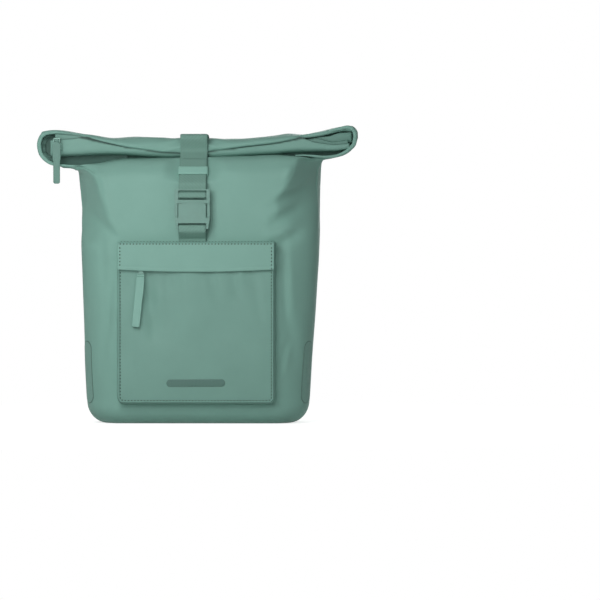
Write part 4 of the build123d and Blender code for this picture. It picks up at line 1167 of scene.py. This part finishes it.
class PANNIER_OT_zips(bpy.types.Operator):
    """Builds the pocket's zip tape and teeth, the end of the mouth zip and both pulls"""

    bl_idname = "pannier.zips"
    bl_label = "Zips and pulls"

    def execute(self, context):
        inner = POCKET_HALF - 1.6
        for name, low, high, *nodes in (
            ("zip_tape_lower", POCKET_MOUTH - 5.5, ZIP_HEIGHT - 0.8, "pocket_zip_tape"),
            ("zip_tape_upper", ZIP_HEIGHT + 0.8, 249.6),
        ):
            x, z = np.meshgrid(np.linspace(-inner, inner, 90), np.linspace(low, high, 9))
            y = ZIP_DEPTH + 0.25 * wander(x, z, 30.0, 0.3)
            uv = np.stack([z - low + 10.0, x], -1)
            tape = make_piece(name, at(x, y, z), grid_faces(9, 90), uv=uv)
            thicken(tape, 0.7, offset=0.0, edge=0.15)
            finish_piece(tape, "zip tape", "zip_tape", "bag", *nodes)
        pitch, reach = context.scene.pannier_sizes.tooth_pitch / MM, POCKET_HALF - 9.0
        lines = []
        for z, shift in ((ZIP_HEIGHT - 0.75, 0.0), (ZIP_HEIGHT + 0.75, 0.5 * pitch)):
            lines.append((at([-reach + shift, reach], ZIP_DEPTH - 0.05, z), (0, -1, 0)))
        teeth = rows_of("pocket_teeth", lines, "zip teeth", "zip_teeth", "bag", kind="tooth",
                        pitch=pitch, length=1.25, width=2.0, height=2.5)
        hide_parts("pocket_zip_teeth")
        self.pull("pocket_pull_tab", "pocket_pull", (-75.5, -86.3, 204.5), 11.0, 71.0, lean=5.6,
                  stand=3.4)
        self.pull("mouth_pull_tab", "mouth_pull", (-195.5, -44.43, 392.5), 10.6, 60.0, step=0.9,
                  neck=5.8, finish="shaded trim")
        finish_piece(self.zip_end(), "trim cloth", "zip_tape", "roll", "mouth_zip_end")
        return {"FINISHED"}

    def zip_end(self):
        """The folded cloth end of the mouth's zip, under its slider."""
        low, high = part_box("mouth_zip_end")
        x0, x1, z0, z1 = low.x / MM, high.x / MM, low.z / MM, high.z / MM
        x, z = np.meshgrid(np.linspace(x0, x1, 22), np.linspace(z0, z1, 20))
        edge = np.minimum.reduce([x - x0, x1 - x, z - z0, z1 - z])
        puff = 2.4 * ease(edge, -0.6, 1.6) - 0.35 * hump(edge, 2.2, 0.5)
        made = make_piece("mouth_zip_tab", at(x, high.y / MM - puff, z), grid_faces(20, 22))
        thicken(made, 1.2, edge=0.3)
        return made

    def pull(self, name, body, place, width, length, lean=0.0, step=0.3, stand=0.0, neck=10.4,
             finish="trim cloth"):
        """A flat folded pull with a pressed edge, hanging from its bar by a loop of cloth."""
        px, py, pz = place
        top, foot = width / 2 + 0.3, width / 2 - step
        down = np.linspace(1.3, length, 64)
        half = through(((0, neck / 2), (3.6, neck / 2), (5.2, top), (0.43 * length, top),
                        (0.46 * length, foot + 0.3), (length - 2.2, foot + 0.2),
                        (length - 0.7, foot - 0.5), (length, foot - 1.8)), down)[:, None]
        u, v = np.meshgrid(np.linspace(-1, 1, 17), down)
        near = np.minimum(half * (1 - np.abs(u)), np.clip(length - v, 0, None))
        thick = 0.75 + 0.45 * ease(near, 0.0, 0.9) - 0.34 * hump(near, 1.9, 0.55)
        thick = thick * (0.7 + 0.3 * ease(v, 0.6, 2.2)) - 0.18 * hump(v, 0.42 * length, 0.7)
        bend = 0.25 * np.sin(v * 0.045) - stand * ease(v / length, 0.05, 1.2)
        cos, sin = math.cos(math.radians(lean)), math.sin(math.radians(lean))
        x, z = u * half * cos - v * sin, -v * cos - u * half * sin
        front, back = (at(px + x, py + bend + side * thick, pz + z) for side in (-1, 1))
        uv = np.stack([np.append(u, u[:, ::-1], 1) * width / 2, np.append(v, v, 1)], -1)
        tab = ring_piece(name, np.append(front, back[:, ::-1], 1), uv=uv)
        finish_piece(tab, finish, "pull", body, body)
        turn = np.linspace(0, 2 * math.pi, 25)[:-1]
        reach = neck / 2
        rings = [
            at(px + x, py + r * np.cos(turn), pz + r * np.sin(turn))
            for x, r in ((-reach, 1.7), (-reach + 0.3, 1.95), (reach - 0.3, 1.95), (reach, 1.7),
                         (reach, 1.0), (-reach, 1.0))
        ]
        finish_piece(ring_piece(name + "_eye", rings, ends="meet"), finish, "pull", body)


ARCH_TOP = 401.4
WEBBING = (
    # name, body, node, bend radius, (y, z) path
    ("sewn_webbing", "bag", "sewn_strap", 3.0, ((70.9, 317.0), (70.9, 330.0))),
    ("rear_webbing", None, "rear_strap", 9.0,
     ((70.8, 330.0), (70.4, 333.5), (61.5, 344.6), (40.0, 357.8), (22.0, 367.6), (13.6, 375.5),
      (12.2, 385.0))),
    ("arch_webbing", None, "strap_arch", 3.0, ((12.2, 384.6), (12.2, 392.7))),
    ("closing_strap", "strap", "closure_strap", 2.6,
     ((12.2, 392.4), (11.4, 396.4), (5.5, 400.2), (-8.0, ARCH_TOP), (-34.0, ARCH_TOP),
      (-41.0, 400.4), (-41.8, 395.6), (-34.2, 382.0), (-34.0, 377.2), (-76.0, 330.5),
      (-76.0, 311.7), (-84.1, 311.7), (-84.1, 318.5), (-77.8, 318.5), (-77.8, 331.2),
      (-46.0, 366.4))),
    ("buckle_webbing", "bag", "anchor_webbing", 1.6,
     ((-70.9, 251.4), (-70.9, 257.2), (-76.9, 265.5), (-76.9, 273.4), (-85.1, 273.4),
      (-85.1, 265.5), (-72.7, 255.6), (-72.7, 251.4))),
)


class PANNIER_OT_webbing(bpy.types.Operator):
    """Builds the closing strap, its rear runs, the webbing sewn under the buckle and the keeper"""

    bl_idname = "pannier.webbing"
    bl_label = "Webbing"

    def execute(self, context):
        made = {}
        for name, body, node, radius, path in WEBBING:
            piece = webbing_piece(name, path, radius)
            made[name] = finish_piece(piece, "strap webbing", "webbing", body, node)
        rear, arch = made["rear_webbing"], made["arch_webbing"]
        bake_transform(rear)
        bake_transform(arch)
        finish_piece(self.keeper(), "loop cloth", "keeper", "keeper", "strap_keeper")
        return {"FINISHED"}

    def keeper(self):
        """A loop of coated cloth round both layers of the strap, along its slant."""
        low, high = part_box("strap_keeper")
        way, out = np.array([0.0, 0.670259, 0.742128]), np.array([0.0, -0.742128, 0.670259])
        centre = (np.array(low) + np.array(high)) / 2 / MM - 6.0 * way
        f = np.arange(96) / 96
        x, t = outline(20.4, 3.4, 1.5, f)
        inner_x, inner_t = outline(19.2, 2.2, 0.5, f)
        # outside from end to end, slimmer towards its rims, then back inside
        loops = [(x * (1 - k * 0.03), t * (1 - k), along) for along, k in (
            (-1.0, 0.12), (-0.93, 0.0), (-0.5, 0.05), (0.0, 0.08), (0.5, 0.05), (0.93, 0.0),
            (1.0, 0.12))]
        loops += [(inner_x, inner_t, along) for along in (1.0, 0.0, -1.0)]
        rings = [centre + at(x, 0, 0) - t[:, None] * out + along * 7.2 * way
                 for x, t, along in loops]
        return ring_piece("strap_loop", rings, ends="meet")


class PANNIER_OT_trims(bpy.types.Operator):
    """Builds the reflective strip on the pocket and the patches round the front corners"""

    bl_idname = "pannier.trims"
    bl_label = "Reflective trims"

    def execute(self, context):
        finish_piece(self.strip(), "reflective tape", "reflector", "bag", "reflector")
        for side, name in ((-1, "left"), (1, "right")):
            patch = self.patch("corner_patch_" + name, side)
            finish_piece(patch, "corner tape", "patch", "bag", name + "_side_patch")
        return {"FINISHED"}

    def strip(self):
        """A slot-shaped strip low on the pocket."""
        half, high, middle = 40.5, 5.2, 57.0
        rings = []
        for share, rise in ((1.0, -0.15), (0.985, 0.35), (0.93, 0.5), (0.8, 0.52), (0.5, 0.52),
                            (0.2, 0.52)):
            x, z = outline(half - high * (1 - share), high * share, high * share,
                           np.arange(120) / 120)
            y = POCKET_FRONT - pocket_relief(x, z + middle) - rise
            rings.append(at(x, y, z + middle + 0.006 * x))
        return ring_piece("reflective_strip", rings, ends="laid")

    def patch(self, name, side):
        """A long slot-shaped patch wrapped round a front corner."""
        half, long, middle, r = 11.0, 43.5, 71.0, FRONT_CORNER
        f = np.arange(96) / 96
        rings, uv = [], []
        for share, rise in ((1.0, -0.15), (0.975, 0.5), (0.94, 0.62), (0.88, 0.4), (0.6, 0.4),
                            (0.3, 0.4)):
            uv.append(np.stack([f, np.full(96, 1.1 * (1 - share))], 1))
            u, v = outline(half * share, long - half * (1 - share), half * share, f)
            z, angle = v + middle, math.radians(66) + u / r
            nx, ny = np.sin(angle), -np.cos(angle)
            x, y = half_width(z) - r + r * nx, r - HALF_DEPTH + r * ny
            out = side_relief(y, z, side < 0) * ease(nx, 0.35, 0.95)
            out = out + front_relief(side * x, z) * ease(-ny, 0.25, 0.95)
            out = out * ease(z, 8, 40) + rise + 0.2
            rings.append(at(side * (x + out * nx) + sway(z), y + out * ny, z))
        return ring_piece(name, rings, uv=np.array(uv), ends="laid", flip=side < 0)


class PANNIER_OT_stitching(bpy.types.Operator):
    """Sews the rows of stitches on the pocket, its flap and the straps"""

    bl_idname = "pannier.stitching"
    bl_label = "Stitching"

    def execute(self, context):
        s = context.scene.pannier_sizes
        seam = {"pitch": s.stitch_pitch / MM, "length": s.stitch_length / MM,
                "width": 1.7, "height": 1.0}
        tack = seam | {"pitch": 2.6, "length": 1.9}
        x, z = pocket_outline(3.0, 240)
        below = z < POCKET_MOUTH - 1
        pocket = at(x[below], POCKET_FRONT + 0.05, z[below])
        x = np.linspace(-POCKET_HALF + 3.6, POCKET_HALF - 3.6, 80)
        top, fold = at(x, -73.4, 251.5), at(x, -88.45, 247.9)
        z = np.linspace(242.5, 214.5, 16)
        y = -89.05 - ease(244.5 - z, 0, 32) * 0.1
        sides = [at(side * (POCKET_HALF - 2.9), y, z) for side in (-1, 1)]
        x = np.linspace(STRAP_MIDDLE - 16, STRAP_MIDDLE + 16, 20)
        bars = [at(x, 71.85, z) for z in (319.5, 327.0)]
        ahead = (0, -1, 0)
        for name, lines, finish, slot, body, sizes in (
            ("pocket_stitches", [(pocket, ahead)], "seam thread", "fabric", "bag", seam),
            ("flap_seam_stitches", [(top, (0, 0, 1)), (fold, (0, -0.9, 0.43))],
             "seam thread", "fabric", "bag", seam),
            ("flap_side_stitches", [(line, ahead) for line in sides],
             "seam thread", "fabric", "flap", seam),
            ("strap_bar_tacks", [(line, (0, 1, 0)) for line in bars],
             "strap thread", "webbing", "bag", tack),
        ):
            rows_of(name, lines, finish, slot, body, **sizes)
        return {"FINISHED"}


CARRIED = {
    # finish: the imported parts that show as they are
    "board": "back_board base_board",
    "painted slider": "mouth_slider pocket_zip_slider",
    "buckle plastic": "buckle_socket buckle_plug left_release_arm right_release_arm",
    "rail plastic": "hook_rail lower_rail",
    "steel": "rail_screws lower_rail_screws screw_nuts hook_screws latch_pin_left "
             "latch_pin_right latch_spring_left latch_spring_right anchor_pin",
    "hook plastic": "rack_hook_left rack_hook_right anchor_hook",
    "liner rubber": "hook_liner_left hook_liner_right",
    "latch plastic": "latch_left latch_right",
}
SOFTENED = ("buckle plastic", "rail plastic", "hook plastic", "latch plastic")


class PANNIER_OT_fittings(bpy.types.Operator):
    """Gives the moulded and metal fittings their finishes"""

    bl_idname = "pannier.fittings"
    bl_label = "Fittings"

    def execute(self, context):
        slots = {row["node"]: row["material_slot"] for row in frame["record"]["subparts"]}
        for finish, nodes in CARRIED.items():
            for node in nodes.split():
                carried = finish_piece(frame["nodes"][node], finish, slots[node])
                if finish in SOFTENED:
                    soften(carried, 0.35, 40)
        return {"FINISHED"}


def aimed(name, data, place, aim):
    """A lamp or camera at its place, turned towards its aim."""
    made = link_object(name, data)
    made.location = place
    way = Vector(aim) - Vector(place)
    made.rotation_euler = way.to_track_quat("-Z", "Y").to_euler()
    return made


class PANNIER_OT_stage(bpy.types.Operator):
    """Sets up the pale floor, the soft lamps and the camera"""

    bl_idname = "pannier.stage"
    bl_label = "Stage"

    def execute(self, context):
        stage = context.scene.pannier_stage
        self.floor()
        self.room(stage.room_light)
        for name, place, aim, size, energy in (
            ("key_lamp", (-0.22, -0.8, 0.5), (-0.01, -0.07, 0.25), 0.6, stage.key_power),
            ("fill_lamp", (1.9, -2.4, 0.6), (0, 0, 0.2), 1.6, stage.fill_power),
            ("back_lamp", (0.3, 2.3, 1.0), (0, 0, 0.2), 1.2, stage.back_power),
        ):
            data = bpy.data.lights.new(name, "AREA")
            data.shape, data.size, data.energy = "SQUARE", size, energy
            aimed(name, data, place, aim)
        context.scene.camera = self.camera(stage.camera_distance, stage.camera_turn)
        context.scene.view_settings.view_transform = "Standard"
        return {"FINISHED"}

    def floor(self):
        """A floor that is white to the camera, with the bag's soft shadow near it."""
        size = 9000.0
        corners = [(-size, -size), (size, -size), (size, size), (-size, size)]
        floor = make_piece("floor", [(x, y, -0.4) for x, y in corners], [(0, 1, 2, 3)],
                           smooth=False)
        s = Shader("PaleFloor")
        seen = s.seen()
        away = s.node("ShaderNodeVectorMath", {0: s.place}, operation="LENGTH")
        grain = s.span(s.noise(300.0, 3.0), 0.3, 0.7, 0.75, 0.76)
        tone = s.node("ShaderNodeCombineColor", {"Red": grain, "Green": grain, "Blue": grain})
        diffuse = s.node("ShaderNodeBsdfDiffuse", {"Color": tone})
        lift = s.node("ShaderNodeEmission", {"Strength": s.math("MULTIPLY", seen, 0.76)})
        near = s.node("ShaderNodeAddShader", {0: diffuse, 1: lift})
        beyond = s.node("ShaderNodeMixShader",
                        {0: seen, 1: diffuse, 2: s.node("ShaderNodeEmission")})
        far = s.span(away.outputs["Value"], 0.3, 0.75)
        whole = s.node("ShaderNodeMixShader", {0: far, 1: near, 2: beyond})
        s.fill(s.nodes["Material Output"], {"Surface": whole})
        floor.data.materials.append(s.material)

    def room(self, strength):
        """Even light from all round, that the camera sees as white."""
        world = bpy.data.worlds.new("Room")
        bpy.context.scene.world = world
        world.use_nodes = True
        g = Graph(world.node_tree)
        light = g.span(g.seen(), 0.0, 1.0, strength, 1.0)
        g.fill(g.nodes["Background"], {"Color": (1, 1, 1, 1), "Strength": light})

    def camera(self, distance, turn):
        """A long lens near the bag's middle height, a little to its right."""
        data = bpy.data.cameras.new("camera")
        data.lens, data.sensor_width = 171.0, 36.0
        data.clip_start, data.clip_end = 0.1, 60.0
        side = Vector((math.cos(turn), math.sin(turn), 0))
        ahead = Vector((-math.sin(turn), math.cos(turn), 0))
        place = Vector((0, 0, 0.176)) - ahead * distance + side * 0.02
        return aimed("camera", data, place, side * 0.1417 + Vector((0, 0, 0.171)))


OPERATORS = (
    PANNIER_OT_skin, PANNIER_OT_roll_layers, PANNIER_OT_pocket, PANNIER_OT_zips,
    PANNIER_OT_webbing, PANNIER_OT_trims, PANNIER_OT_stitching, PANNIER_OT_fittings,
    PANNIER_OT_stage,
)


class PANNIER_PT_panel(bpy.types.Panel):
    """Lists the bag's pieces, their sizes and colours"""

    bl_idname = "PANNIER_PT_panel"
    bl_label = "Pannier bag"
    bl_space_type = "VIEW_3D"
    bl_region_type = "UI"
    bl_category = "Pannier bag"

    def draw(self, context):
        for group in GROUPS:
            values = getattr(context.scene, group)
            for key in values.__annotations__:
                self.layout.prop(values, key)
        for operator in OPERATORS:
            self.layout.operator(operator.bl_idname)


GROUPS = {
    "pannier_sizes": PannierSizes, "pannier_colours": PannierColours,
    "pannier_stage": PannierStage,
}
CLASSES = (*GROUPS.values(), *OPERATORS, PANNIER_PT_panel)


def register():
    for item in CLASSES:
        bpy.utils.register_class(item)
    for name, group in GROUPS.items():
        setattr(bpy.types.Scene, name, PointerProperty(type=group))


def unregister():
    for name in GROUPS:
        delattr(bpy.types.Scene, name)
    for item in reversed(CLASSES):
        bpy.utils.unregister_class(item)


def main():
    register()
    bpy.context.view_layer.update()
    for operator in OPERATORS:
        group, name = operator.bl_idname.split(".")
        getattr(getattr(bpy.ops, group), name)()


if __name__ == "__main__":
    main()
